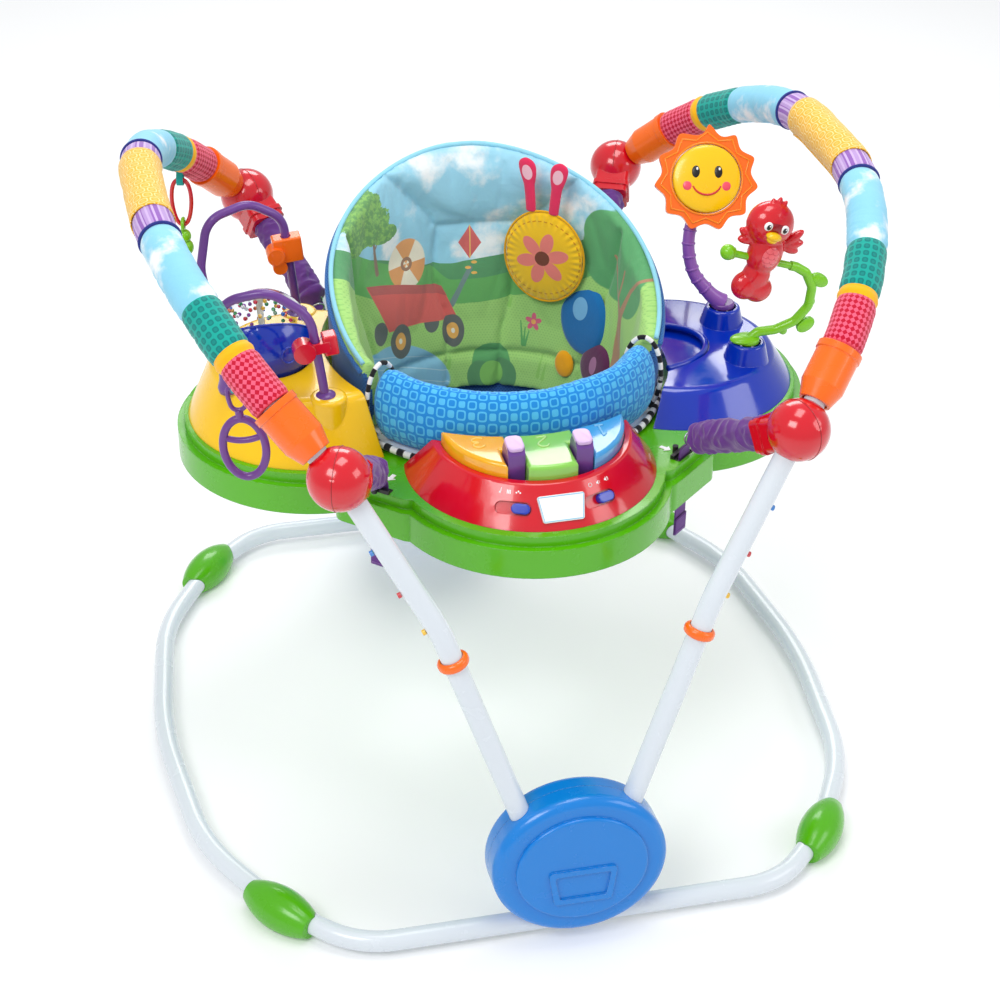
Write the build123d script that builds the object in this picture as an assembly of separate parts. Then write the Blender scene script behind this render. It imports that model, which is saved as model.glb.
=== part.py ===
"""Activity jumper: a sprung toy tray and turning fabric seat, hung from a steel tube frame.

Frame of the model: +X to the sitter's left seen from the front, +Y to the rear, +Z up.
The origin lies on the floor under the middle of the seat. Millimetres throughout.
Every node is one kind of piece; its solids are written to parts/NODE.step.
"""
from build123d import *
import math
import os

# ---------------------------------------------------------------- driving dimensions
TUBE_R = 12.7                  # one inch steel tube, used for base, legs and arches
TUBE_WALL = 1.2
SLIP = 0.1                     # clearance of a tube in a moulded hole
WALL = 3.0                     # moulded housing wall

BALL = (258.0, 374.0, 613.0)   # centre of a corner ball, mirrored to four corners
BALL_R = 35.7
FOOT = (343.0, 374.0, 18.0)    # where base tubes meet inside a foot
HUB_C = (0.0, 447.0, 107.0)    # centre of the front hub (rear is mirrored)
HUB_W, HUB_H = 106.0, 93.0     # half width and half height of a hub
HUB_LEAN = 5.9                 # degrees, the hub leans with its legs
LEG_FOOT = (50.0, 447.1, 124.0)    # lower end of a leg, inside the hub
LEG_RING = (143.18, 419.84, 388.0)     # joint ring between lower and upper leg, on the same line
LEG_BEND = (158.0, 415.5, 430.0)   # slight bend above the ring

ARCH_LEAN = 41.5               # degrees, the arches lean outwards
ARCH_CORNER = (261.2, 238.4)   # corner of the arch's control line, along Y and up its plane
ARCH_BEND_R = 350.0
ARCH_SLEEVE = (36.0, 104.0)    # orange end sleeve, distances along the arch from the ball
ARCH_HANG = 173.7              # distance along the arch of each fabric toy loop
COVER_R = 24.0                 # padded arch cover
HANG_DROP = 37.0               # toy link centre below the arch centre line

LOBE_R = 170.0                 # the tray is four overlapping round lobes
LOBE_SIDE = 228.0
LOBE_FRONT = 187.0
DECK_Z = 490.0                 # top of the tray
SHOULDER_Z = 477.0             # step of the tray rim
TRAY_Z = 440.0                 # bottom of the tray rim
WELL_R = 190.0                 # seat opening in the tray
HOOK = (185.0, 205.0)          # strap slot near each corner of the tray
PLUSH_BEARING = 54.0           # where the plush pad sits on the seat back, from +X
LEG_HOLE = (62.0, -46.0)       # leg openings in the seat bowl
LEG_HOLE_R = 43.0
SEAT_CLEAR_R = 216.0           # nothing on the tray comes nearer to the seat's axis

STATION_X = 232.0              # centre of the two side toy stations
STATION_R = 152.0
DOME_TOP_Z = 566.0             # yellow bead station
SUN_TOP_Z = 532.0              # blue station
GLOBE = (-288.0, 0.0, 592.0)
GLOBE_R = 60.0
GLOBE_LEAN = 42.0              # the halves of the globe meet on a plane that leans back this far
BEAD_POST = (228.0, 112.0)     # post sockets of the bead loops
SUN_POST = (310.0, 42.0)
VINE_POST = (310.0, -57.0)
POST_TOP_Z = 555.0

PIANO_R = (150.0, 118.0)       # foot and rim radius of the piano housing
PIANO_TOP_Z = 534.0
KEY_FLOOR_Z = 512.0
KEY_Z = (516.0, 551.0)
KEY_SPLIT = 40.0               # the keys meet at this distance from the middle
LEVER_W = 20.0
LEVER_Y = (-280.0, -250.0)

SIDES = (("left", -1), ("right", 1))
CORNERS = (("front_left", -1, -1), ("front_right", 1, -1),
           ("rear_left", -1, 1), ("rear_right", 1, 1))

SITS = (Align.CENTER, Align.CENTER, Align.MIN)     # a solid standing on its own origin

nodes = {}


# ---------------------------------------------------------------- helpers
def add(name, *solids):
    """Keep the solids of one node for export."""
    nodes.setdefault(name, []).extend(solids)


def disc(x, y, r, z0, z1):
    """Upright cylinder between two heights."""
    return Pos(x, y, z0) * Cylinder(r, z1 - z0, align=SITS)


def block(x0, x1, y0, y1, z0, z1):
    return Pos((x0 + x1) / 2, (y0 + y1) / 2, (z0 + z1) / 2) * Box(x1 - x0, y1 - y0, z1 - z0)


def prism(sketch, z0, z1):
    return extrude(Pos(0, 0, z0) * sketch, amount=z1 - z0)


def rod_between(p0, p1, r):
    """Straight cylinder from one point to another."""
    start, end = Vector(*p0), Vector(*p1)
    axis = end - start
    return extrude(Plane(origin=start, z_dir=axis) * Circle(r), amount=axis.length)


def along(p0, p1, distance):
    """The point a distance from p0 towards p1."""
    start = Vector(*p0)
    return start + (Vector(*p1) - start).normalized() * distance


def swept(path, section):
    return sweep(Plane(origin=path @ 0, z_dir=path % 0) * section, path=path)


def bent_rod(points, bend_r, r):
    path = FilletPolyline(*points, radius=bend_r)
    return swept(path, Circle(r))


def bent_pipe(points, bend_r, r=TUBE_R, wall=TUBE_WALL):
    path = FilletPolyline(*points, radius=bend_r)
    return swept(path, Circle(r)) - swept(path, Circle(r - wall))


def mirrored(points, sx, sy):
    return [(p[0] * sx, p[1] * sy, p[2]) for p in points]


def turned(profile_points, start_deg=0.0, arc=360.0):
    """Solid of revolution about Z from (radius, height) points."""
    face = make_face(Plane.XZ * Polyline(*profile_points, close=True))
    return Rot(0, 0, start_deg) * revolve(face, axis=Axis.Z, revolution_arc=arc)


# ---------------------------------------------------------------- base and legs
FRONT_RAIL = ((343, 374, 18), (262, 455, 18), (-262, 455, 18), (-343, 374, 18))
SIDE_RAIL = ((343, -374, 18), (420, -240, 18), (443, -40, 18),
             (443, 40, 18), (420, 240, 18), (343, 374, 18))
RAIL_END_GAP = 8.0


def shortened(points, gap):
    """The same run with both ends pulled in by a gap."""
    pts = list(points)
    first = along(pts[0], pts[1], gap)
    last = along(pts[-1], pts[-2], gap)
    return [tuple(first)] + pts[1:-1] + [tuple(last)]


def base_rails():
    for name, sy in (("front", -1), ("rear", 1)):
        pts = mirrored(shortened(FRONT_RAIL, RAIL_END_GAP), 1, sy)
        add("base_rail_" + name, bent_pipe(pts, 110.0))
    for name, sx in SIDES:
        pts = mirrored(shortened(SIDE_RAIL, RAIL_END_GAP), sx, 1)
        add("base_rail_" + name, bent_pipe(pts, [300.0, 600.0, 600.0, 300.0]))


def floor_feet():
    """Bean shaped wraps over the base tube joints, with a flat sole on the floor."""
    half_len, belly_r, tip_r = 50.0, 27.0, 14.5
    for _, sx, sy in CORNERS:
        centre = Vector(FOOT[0] * sx, FOOT[1] * sy, FOOT[2])
        to_front = along(tuple(centre), (262 * sx, 455 * sy, 18), 70)
        to_side = along(tuple(centre), (420 * sx, 240 * sy, 18), 70)
        lie = Plane(origin=centre, x_dir=to_side - to_front, z_dir=(0, 0, 1))
        arc = ThreePointArc((-half_len, tip_r), (0, belly_r), (half_len, tip_r))
        outline = arc + Polyline((half_len, tip_r), (half_len, 0), (-half_len, 0), (-half_len, tip_r))
        bean = revolve(make_face(outline), axis=Axis.X)
        bean = lie * bean
        bean -= block(-600, 600, -600, 600, -60, 0)
        for end in (to_front, to_side):
            bean -= rod_between(tuple(centre), tuple(end), TUBE_R + SLIP)
        bean -= Pos(*centre) * Sphere(TUBE_R + SLIP)
        add("floor_feet", bean)


def leg_points(sx, sy):
    return mirrored((LEG_FOOT, LEG_RING, LEG_BEND, BALL), sx, sy)


def legs():
    spigot_r = TUBE_R - TUBE_WALL - SLIP
    for _, sx, sy in CORNERS:
        foot, ring, bend, ball = leg_points(sx, sy)
        add("lower_legs", rod_between(foot, ring, TUBE_R)
            - rod_between(foot, ring, TUBE_R - TUBE_WALL))
        upper = bent_rod([tuple(along(ring, bend, 0.5)), bend, tuple(along(ball, bend, 15.0))],
                         200.0, TUBE_R)
        upper += rod_between(tuple(along(ring, foot, 45.0)), tuple(along(ring, bend, 6.0)), spigot_r)
        upper -= bent_rod([tuple(along(ring, foot, 46.0)), bend, tuple(along(ball, bend, 14.0))],
                          200.0, spigot_r - TUBE_WALL)
        add("upper_legs", upper)


def leg_collars():
    """Orange rings that cover the joint of the lower and upper legs."""
    for _, sx, sy in CORNERS:
        foot, ring, bend, _ = leg_points(sx, sy)
        low = along(ring, foot, 6.0)
        lie = Plane(origin=low, z_dir=Vector(*ring) - Vector(*foot))
        body = Cylinder(18.5, 12.0, align=SITS)
        body = fillet(body.edges().filter_by(GeomType.CIRCLE), 5.0)
        collar = lie * body
        collar -= rod_between(tuple(along(ring, foot, 12.0)), ring, TUBE_R + SLIP)
        collar -= rod_between(tuple(along(ring, foot, 1.0)), tuple(along(ring, bend, 14.0)), TUBE_R + 0.6)
        add("leg_collars", collar)


def leg_pegs():
    """Push pegs through the outer wall of each upper leg."""
    for _, sx, sy in CORNERS:
        _, _, bend, ball = leg_points(sx, sy)
        low, high = Vector(*bend), Vector(*ball)
        for height in (436.0, 482.0, 533.0):
            share = (height - low.Z) / (high.Z - low.Z)
            centre = low + (high - low) * share
            out = Vector(sx * 0.89, 0, -0.456)
            inner = centre + out * (TUBE_R + 0.6)
            tip = centre + out * (TUBE_R + 4.5)
            add("leg_pegs", rod_between(tuple(inner), tuple(tip), 3.3))


# ---------------------------------------------------------------- hubs
def hub_plane(sy):
    """Plane of a hub's disc: X across, Y up the lean, Z outwards."""
    lean = math.radians(HUB_LEAN)
    normal = Vector(0, sy * math.cos(lean), math.sin(lean))
    return Plane(origin=Vector(HUB_C[0], sy * HUB_C[1], HUB_C[2]), x_dir=(-sy, 0, 0), z_dir=normal)


def hub_half(thick, inset):
    """One moulded half: stepped oval outside, hollow inside, open at the parting face."""
    body = extrude(Ellipse(HUB_W, HUB_H), amount=thick)
    body = fillet(body.edges().group_by(Axis.Z)[-1], inset)
    step = Pos(0, 0, thick) * extrude(Ellipse(HUB_W - 26, HUB_H - 24), amount=5.0)
    step = fillet(step.edges().group_by(Axis.Z)[-1], 3.0)
    cavity = extrude(Ellipse(HUB_W - WALL, HUB_H - WALL), amount=thick - inset)
    core = Pos(0, 0, thick - inset) * extrude(Ellipse(HUB_W - inset - WALL, HUB_H - inset - WALL),
                                              amount=inset - WALL)
    return body + step - cavity - core


def trapezoid(w_top, w_bottom, h):
    return make_face(Polyline((-w_top / 2, h / 2), (w_top / 2, h / 2),
                              (w_bottom / 2, -h / 2), (-w_bottom / 2, -h / 2), close=True))


def hubs():
    outer = hub_half(30.0, 12.0)
    frame = fillet(trapezoid(84, 70, 46).vertices(), 5.0) - fillet(trapezoid(68, 56, 32).vertices(), 3.0)
    outer += Pos(0, -22, 34.0) * extrude(frame, amount=4.0)
    inner = mirror(hub_half(26.0, 10.0), about=Plane.XY)
    for _, sy in (("front", -1), ("rear", 1)):
        lie = hub_plane(sy)
        tubes = [rod_between((-140, sy * 455, 18), (140, sy * 455, 18), TUBE_R + SLIP)]
        for sx in (-1, 1):
            foot, ring, _, _ = leg_points(sx, sy)
            tubes.append(rod_between(tuple(along(foot, ring, -2)), ring, TUBE_R + SLIP))
        out_half = lie * (Pos(0, 0, 0.1) * outer)
        in_half = lie * (Pos(0, 0, -0.1) * inner)
        for tube in tubes:
            out_half -= tube
            in_half -= tube
        add("hub_outer_shells", out_half)
        add("hub_inner_shells", in_half)


# ---------------------------------------------------------------- corner balls and arches
def arch_plane(sx):
    """In this plane X runs to the rear and Y up the lean of the arch."""
    lean = math.radians(ARCH_LEAN)
    return Plane(origin=(sx * BALL[0], 0, BALL[2]), x_dir=(0, 1, 0),
                 z_dir=(math.cos(lean), 0, -sx * math.sin(lean)))


ARCH_SLOPE = math.atan2(ARCH_CORNER[1], BALL[1] - ARCH_CORNER[0])
ARCH_TANGENT = ARCH_BEND_R * math.tan(ARCH_SLOPE / 2)
ARCH_STRAIGHT = math.hypot(BALL[1] - ARCH_CORNER[0], ARCH_CORNER[1]) - ARCH_TANGENT
ARCH_ARC = ARCH_BEND_R * ARCH_SLOPE
ARCH_TOP = ARCH_CORNER[0] - ARCH_TANGENT    # half the straight top


def arch_at(s):
    """Point of the arch in its plane, at a distance along it from the front ball."""
    half = ARCH_STRAIGHT + ARCH_ARC + ARCH_TOP
    if s > half:
        y, w = arch_at(2 * half - s)
        return (-y, w)
    if s < ARCH_STRAIGHT:
        return (-BALL[1] + s * math.cos(ARCH_SLOPE), s * math.sin(ARCH_SLOPE))
    turn = min((s - ARCH_STRAIGHT) / ARCH_BEND_R, ARCH_SLOPE)
    rest = max(0.0, s - ARCH_STRAIGHT - ARCH_ARC)
    angle = ARCH_SLOPE - turn
    centre = (-ARCH_TOP, ARCH_CORNER[1] - ARCH_BEND_R)
    return (centre[0] - ARCH_BEND_R * math.sin(angle) + rest,
            centre[1] + ARCH_BEND_R * math.cos(angle))


ARCH_LENGTH = 2 * (ARCH_STRAIGHT + ARCH_ARC + ARCH_TOP)


def arch_path(s0):
    """The arch from s0 to the same distance from its rear end."""
    knots = [s0]
    if s0 < ARCH_STRAIGHT:
        knots.append(ARCH_STRAIGHT)
    bend_end = ARCH_STRAIGHT + ARCH_ARC
    bend_start = knots[-1]
    edges = []
    if len(knots) == 2:
        edges.append(Line(arch_at(s0), arch_at(ARCH_STRAIGHT)))
    edges.append(ThreePointArc(arch_at(bend_start), arch_at((bend_start + bend_end) / 2),
                               arch_at(bend_end)))
    edges.append(Line(arch_at(bend_end), arch_at(ARCH_LENGTH - bend_end)))
    edges.append(ThreePointArc(arch_at(ARCH_LENGTH - bend_end),
                               arch_at(ARCH_LENGTH - (bend_start + bend_end) / 2),
                               arch_at(ARCH_LENGTH - bend_start)))
    if len(knots) == 2:
        edges.append(Line(arch_at(ARCH_LENGTH - ARCH_STRAIGHT), arch_at(ARCH_LENGTH - s0)))
    return Wire(edges)


def arch_point(sx, s):
    return arch_plane(sx).from_local_coords(Vector(*arch_at(s), 0))


TOY_SIDEWAYS = Vector(0.97, -0.243, 0)     # the flat toys hang square to this direction


def hang_point(sx, sy):
    s = ARCH_HANG if sy < 0 else ARCH_LENGTH - ARCH_HANG
    return arch_point(sx, s) - Vector(0, 0, HANG_DROP)


def fabric_loop(sx, sy):
    """Short webbing loop sewn under the arch cover, with a hole for a toy link."""
    at = hang_point(sx, sy)
    half = TOY_SIDEWAYS * 4.0
    ring = rod_between(tuple(at - half), tuple(at + half), 7.6)
    ring -= rod_between(tuple(at - half * 1.5), tuple(at + half * 1.5), 5.0)
    lie = Plane(origin=at, x_dir=TOY_SIDEWAYS, z_dir=(0, 0, 1))
    tab = lie * block(-4, 4, -1.3, 1.3, 6.0, HANG_DROP - 14)
    return ring + tab


def arches():
    pipe_path = arch_path(15.0)
    cover_path = arch_path(ARCH_SLEEVE[1] + 4.0)
    for name, sx in SIDES:
        lie = arch_plane(sx)
        pipe = lie * pipe_path
        add("arch_tube_" + name, swept(pipe, Circle(TUBE_R)) - swept(pipe, Circle(TUBE_R - TUBE_WALL)))
        line = lie * cover_path
        cover = swept(line, Circle(COVER_R))
        for sy in (-1, 1):
            cover += fabric_loop(sx, sy)
        add("arch_cover_" + name, cover - swept(line, Circle(TUBE_R + SLIP)))
        for sy in (-1, 1):
            ends = [s if sy < 0 else ARCH_LENGTH - s for s in ARCH_SLEEVE]
            low, high = arch_point(sx, ends[0]), arch_point(sx, ends[1])
            axis = high - low
            length = axis.length
            profile = ((15.2, 0), (18.5, 0), (25.2, 20), (25.2, length - 9), (26.6, length - 8),
                       (26.6, length), (15.2, length))
            add("arch_sleeves", Plane(origin=low, z_dir=axis) * turned(profile))


def spring_axis(sx, sy):
    """Top and bottom of one bounce spring."""
    ball = Vector(sx * BALL[0], sy * BALL[1], BALL[2])
    hook = Vector(sx * HOOK[0], sy * HOOK[1], DECK_Z + 22)
    return ball, hook


SOCKET_REACH = 56.0


def corner_balls():
    """Hollow ball at each corner, with a boxy socket aimed down the bounce spring."""
    for _, sx, sy in CORNERS:
        ball, hook = spring_axis(sx, sy)
        aim = (hook - ball).normalized()
        lie = Plane(origin=ball, x_dir=Vector(aim.Y, -aim.X, 0), z_dir=aim)
        box = fillet((Box(46, 40, SOCKET_REACH, align=SITS)).edges().filter_by(Axis.Z), 6.0)
        rim = fillet((Pos(0, 0, 40) * Box(50, 44, 7, align=SITS)).edges().filter_by(Axis.Z), 7.0)
        shell = lie * (Sphere(BALL_R) + box + rim)
        shell -= lie * (Sphere(BALL_R - WALL) + Cylinder(17.5, SOCKET_REACH + 1, align=SITS))
        leg_in = along(tuple(ball), leg_points(sx, sy)[2], BALL_R + 4)
        arch_end = ARCH_STRAIGHT if sy < 0 else ARCH_LENGTH - ARCH_STRAIGHT
        shell -= rod_between(tuple(ball), tuple(leg_in), TUBE_R + SLIP)
        shell -= rod_between(tuple(ball), tuple(arch_point(sx, arch_end)), TUBE_R + SLIP)
        add("corner_balls", shell)


def springs():
    """Spring, its gathered fabric cover and the strap tail of each corner."""
    for _, sx, sy in CORNERS:
        ball, hook = spring_axis(sx, sy)
        aim = (hook - ball).normalized()
        top = ball + aim * (SOCKET_REACH + 0.6)
        end = hook - aim * 16.0
        cover = rod_between(tuple(top), tuple(end), 20.0) - rod_between(tuple(top), tuple(end), 15.0)
        add("spring_covers", cover)
        low = ball + aim * 36.0
        add("bounce_springs", rod_between(tuple(low), tuple(hook), 11.0)
            - rod_between(tuple(low), tuple(hook), 8.5))


# ---------------------------------------------------------------- tray
def lobes(grow=0.0):
    """Outline of the tray: four round lobes and a block at each strap corner."""
    r = LOBE_R + grow
    shape = Circle(232.0 + grow)
    for x, y in ((LOBE_SIDE, 0), (-LOBE_SIDE, 0), (0, LOBE_FRONT), (0, -LOBE_FRONT)):
        shape += Pos(x, y) * Circle(r)
    angle = math.degrees(math.atan2(HOOK[1], HOOK[0]))
    for _, sx, sy in CORNERS:
        turn = angle if sx * sy > 0 else -angle
        shape += Pos(sx * 146, sy * 162) * (Rot(0, 0, turn) * RectangleRounded(150 + 2 * grow,
                                                                          118 + 2 * grow, 18.0))
    return shape


def strap_slots():
    angle = math.degrees(math.atan2(HOOK[1], HOOK[0]))
    for _, sx, sy in CORNERS:
        turn = angle if sx * sy > 0 else -angle
        yield Pos(sx * HOOK[0], sy * HOOK[1]) * Rot(0, 0, turn)


def tray():
    top = prism(lobes(), TRAY_Z, SHOULDER_Z) + prism(lobes(-9), SHOULDER_Z, DECK_Z)
    top -= prism(lobes(-WALL), TRAY_Z - 1, SHOULDER_Z - WALL)
    top -= prism(lobes(-9 - WALL), SHOULDER_Z - WALL - 1, DECK_Z - WALL)
    top += disc(0, 0, WELL_R + WALL, TRAY_Z + 5, DECK_Z - WALL / 2)
    top -= disc(0, 0, WELL_R, TRAY_Z - 1, DECK_Z + 1)
    for place in strap_slots():
        top -= place * block(-2.5, 2.5, -15, 15, TRAY_Z, DECK_Z + 1)
    add("tray_top", top)

    pan = prism(lobes(-WALL - 0.3), TRAY_Z + 1, TRAY_Z + 4) - disc(0, 0, WELL_R, TRAY_Z, TRAY_Z + 5)
    pan -= block(-36, 36, -304, -246, TRAY_Z, TRAY_Z + 5)
    for place in strap_slots():
        pan -= place * block(-4, 4, -16, 16, TRAY_Z, TRAY_Z + 5)
    add("tray_underside", pan)
    door = block(-35.6, 35.6, -303.6, -246.4, TRAY_Z + 1, TRAY_Z + 4)
    door = fillet(door.edges().filter_by(Axis.Z), 4.0)
    add("battery_door", door)

    for place in strap_slots():
        bar = place * block(-9, -4, -17, 17, DECK_Z + 0.2, DECK_Z + 5)
        pin = place * Pos(-12, 0, DECK_Z + 0.2) * Cylinder(3.5, 9, align=SITS)
        add("strap_hooks", bar + pin)
        tail = place * block(-1.6, 1.6, -12.5, 12.5, TRAY_Z - 58, DECK_Z + 4)
        hem = place * block(1.6, 3.0, -12.5, 12.5, TRAY_Z - 58, TRAY_Z - 34)
        add("strap_tails", tail + hem)


# ---------------------------------------------------------------- seat
def seat():
    track = turned(((184.0, 462), (189.6, 462), (189.6, 489.5), (184.0, 489.5)))
    add("seat_track", track)
    ring = turned(((176, 457), (187.5, 457), (187.5, 461.5), (183.6, 461.5), (183.6, 491.5),
                   (203, 491.5), (203, 499), (176, 499)))
    add("seat_ring", ring)
    outside = turned(((0, 334), (118, 344), (163.5, 405), (175.7, 470), (175.7, 500), (0, 500)))
    inside = turned(((0, 337), (116.5, 347), (161.2, 406.5), (173.2, 470), (173.2, 501), (0, 501)))
    sling = outside - inside
    for sx in (-1, 1):
        sling -= disc(sx * LEG_HOLE[0], LEG_HOLE[1], LEG_HOLE_R, 320, 420)
    add("seat_sling", sling)
    pad = turned(((146, 405), (160, 405.5), (172.6, 470), (172.6, 501), (203, 501), (207, 600),
                  (211, 748), (190, 748), (184, 600), (168, 520), (158, 470)), -28.5, 237.0)
    slope = Plane(origin=(0, 60, 667), x_dir=(1, 0, 0), z_dir=(0, -0.435, 0.9))
    pad -= slope * Pos(0, 0, 100) * Box(900, 900, 200)
    add("seat_pad", pad)
    roll = Plane.XZ * Pos(188, 550) * Ellipse(22.0, 47.0)
    bumper = Rot(0, 0, -149.0) * revolve(roll, axis=Axis.Z, revolution_arc=118.0)
    add("seat_bumper", bumper)
    bearing = math.radians(PLUSH_BEARING)
    away = Vector(math.cos(bearing), math.sin(bearing), 0)
    sideways = Vector(-away.Y, away.X, 0)
    head = Plane(origin=away * 150 + Vector(0, 0, 604), x_dir=sideways, z_dir=away)
    add("plush_head", head * extrude(Ellipse(58, 66), amount=18.0))


# ---------------------------------------------------------------- piano
def piano_outer():
    blank = Cone(PIANO_R[0], PIANO_R[1], PIANO_TOP_Z - DECK_Z, align=SITS)
    return Pos(0, -LOBE_FRONT, DECK_Z) * fillet(blank.edges().group_by(Axis.Z)[-1], 5.0)


FACE_SLOPE = math.degrees(math.atan2(PIANO_R[0] - PIANO_R[1], PIANO_TOP_Z - DECK_Z))


def face_plane(bearing, z):
    """Plane on the sloped front of the piano housing: X along it, Y up it, Z out of it."""
    share = (z - DECK_Z) / (PIANO_TOP_Z - DECK_Z)
    r = PIANO_R[0] + (PIANO_R[1] - PIANO_R[0]) * share
    a = math.radians(-90 + bearing)
    b = math.radians(FACE_SLOPE)
    out = Vector(math.cos(a) * math.cos(b), math.sin(a) * math.cos(b), math.sin(b))
    return Plane(origin=(r * math.cos(a), -LOBE_FRONT + r * math.sin(a), z),
                 x_dir=(-math.sin(a), math.cos(a), 0), z_dir=out)


SWITCHES = (("mode_switch", -22.5, 9.0), ("volume_switch", 22.5, 7.0))
FACE_MID_Z = 511.0


def stadium(length, width):
    return SlotOverall(length, width)


def piano():
    body = piano_outer() - disc(0, 0, SEAT_CLEAR_R, DECK_Z - 1, PIANO_TOP_Z + 1)
    hollow = Pos(0, -LOBE_FRONT, DECK_Z - 1) * Cone(PIANO_R[0] - 4.0, PIANO_R[0] - 16.0,
                                                    KEY_FLOOR_Z - 4 - DECK_Z,
                                                    align=SITS)
    hollow -= disc(0, 0, SEAT_CLEAR_R + WALL, DECK_Z - 2, PIANO_TOP_Z)
    for _, bearing, _ in SWITCHES:
        boss = face_plane(bearing, FACE_MID_Z) * Pos(0, 0, -8) * Box(48, 26, 14)
        hollow -= boss
    well = disc(0, -LOBE_FRONT, 110.0, KEY_FLOOR_Z, PIANO_TOP_Z + 1)
    well -= disc(0, 0, SEAT_CLEAR_R + WALL, KEY_FLOOR_Z - 1, PIANO_TOP_Z + 2)
    body = body - hollow - well
    for name, bearing, shift in SWITCHES:
        lie = face_plane(bearing, FACE_MID_Z)
        body -= lie * (Pos(0, 0, -5) * extrude(stadium(42, 15), amount=12))
        knob = Pos(shift, 0, -4.5) * extrude(stadium(22, 12), amount=7.5)
        add(name, lie * fillet(knob.edges().group_by(Axis.Z)[-1], 1.6))
    add("piano_housing", body)
    plate = face_plane(1.5, FACE_MID_Z) * Pos(0, 0, -3) * extrude(
        fillet(trapezoid(56, 48, 31).vertices(), 3.0), amount=4.6)
    add("piano_badge", plate - piano_outer())
    add("circuit_board", block(-23, 23, -314, -270, DECK_Z + 3, DECK_Z + 4.6))
    add("speaker", disc(-58, -262, 20, DECK_Z + 2, DECK_Z + 14))


def key_zone(z0, z1, gap):
    zone = disc(0, -LOBE_FRONT, 110.0 - gap, z0, z1)
    return zone - disc(0, 0, SEAT_CLEAR_R + WALL + gap, z0 - 1, z1 + 1)


def keys():
    """Three hollow keys and the two levers that stand between them."""
    gap, skin = 0.8, 2.6
    edge = KEY_SPLIT - gap / 2
    spans = (("key_left", -120, -edge - gap), ("key_middle", -edge, edge), ("key_right", edge + gap, 120))
    for name, x0, x1 in spans:
        key = key_zone(KEY_Z[0], KEY_Z[1], gap) & block(x0, x1, -310, -180, 500, 600)
        room = key_zone(KEY_Z[0] - 1, KEY_Z[1] - 4, gap + skin)
        room &= block(x0 + skin, x1 - skin, -310, -180, 500, 600)
        for sx in (-1, 1):
            half = LEVER_W / 2 + 1.0
            key -= block(sx * KEY_SPLIT - half, sx * KEY_SPLIT + half,
                         LEVER_Y[0] - 40, LEVER_Y[1] + 1.5, 500, 600)
            room -= block(sx * KEY_SPLIT - half - skin, sx * KEY_SPLIT + half + skin,
                          LEVER_Y[0] - 40, LEVER_Y[1] + 1.5 + skin, 500, 600)
        key = fillet(key.edges().group_by(Axis.Z)[-1], 5.0)
        add(name, key - room)
    for name, sx in (("lever_left", -1), ("lever_right", 1)):
        y0, y1 = LEVER_Y
        side = make_face(Plane.YZ * Polyline((y0, 519), (y1, 519), (y1, 556), (y1 - 6, 565),
                                             (y0 + 6, 568), (y0, 560), close=True))
        lever = Pos(sx * KEY_SPLIT - LEVER_W / 2, 0, 0) * extrude(side, amount=LEVER_W)
        add(name, lever)


# ---------------------------------------------------------------- bead station
BEAD_FRONT = ((-228, -112, 540), (-246, -108.5, 672), (-292, -101, 704), (-345, -88, 690),
              (-352, -72, 630), (-336, -58, 545))
BEAD_REAR = ((-228, 112, 540), (-246, 104, 700), (-288, 97, 726), (-340, 88, 712),
             (-352, 74, 655), (-336, 58, 545))
BEAD_BENDS = (45, 36, 34, 50)
BEAD_REAR_BENDS = (36, 34, 34, 50)
BEAD_WIRE_R = 5.5


def station_blank(sx, r0, r1, z_top, round_r):
    """Round housing, cut back to clear the turning seat."""
    blank = Pos(sx * STATION_X, 0, DECK_Z) * Cone(r0, r1, z_top - DECK_Z,
                                                  align=SITS)
    if round_r:
        blank = fillet(blank.edges().group_by(Axis.Z)[-1], round_r)
    return blank


def bead_station():
    body = station_blank(-1, STATION_R, 120.0, DOME_TOP_Z, 14.0)
    hollow = Pos(-STATION_X, 0, DECK_Z - 1) * Cone(STATION_R - WALL, 113.0, DOME_TOP_Z - DECK_Z - 4,
                                                   align=SITS)
    hollow -= disc(0, 0, SEAT_CLEAR_R + WALL, DECK_Z - 2, DOME_TOP_Z)
    hollow -= Pos(*GLOBE) * Sphere(GLOBE_R + 6)
    body = body - hollow
    for sy in (-1, 1):
        post = disc(-BEAD_POST[0], sy * BEAD_POST[1], 22.0, DECK_Z, DOME_TOP_Z + 2)
        body += fillet(post.edges().group_by(Axis.Z)[-1], 5.0)
    body -= disc(0, 0, SEAT_CLEAR_R, DECK_Z - 1, DOME_TOP_Z + 9)
    body -= Pos(*GLOBE) * Sphere(GLOBE_R + 3)
    body += disc(GLOBE[0], GLOBE[1], 3.0, GLOBE[2] - GLOBE_R - 4.5, GLOBE[2] - GLOBE_R + 10)
    loops = (("bead_loop_front", BEAD_FRONT, BEAD_BENDS), ("bead_loop_rear", BEAD_REAR, BEAD_REAR_BENDS))
    for name, pts, bends in loops:
        body -= bent_rod(pts, list(bends), BEAD_WIRE_R + SLIP)
        add(name, bent_rod(pts, list(bends), BEAD_WIRE_R))
    add("bead_station", body)


def globe():
    centre = Pos(*GLOBE) * Rot(-GLOBE_LEAN, 0, 0)
    ball = Sphere(GLOBE_R) - Sphere(GLOBE_R - 3)
    lower = centre * (ball & Box(200, 200, 100, align=(Align.CENTER, Align.CENTER, Align.MAX)))
    lower -= disc(GLOBE[0], GLOBE[1], 3.05, GLOBE[2] - GLOBE_R - 5, GLOBE[2] - GLOBE_R + 6)
    upper = centre * (ball & (Pos(0, 0, 0.2) * Box(200, 200, 100, align=SITS)))
    add("globe_base", lower)
    add("globe_dome", upper)


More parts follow.
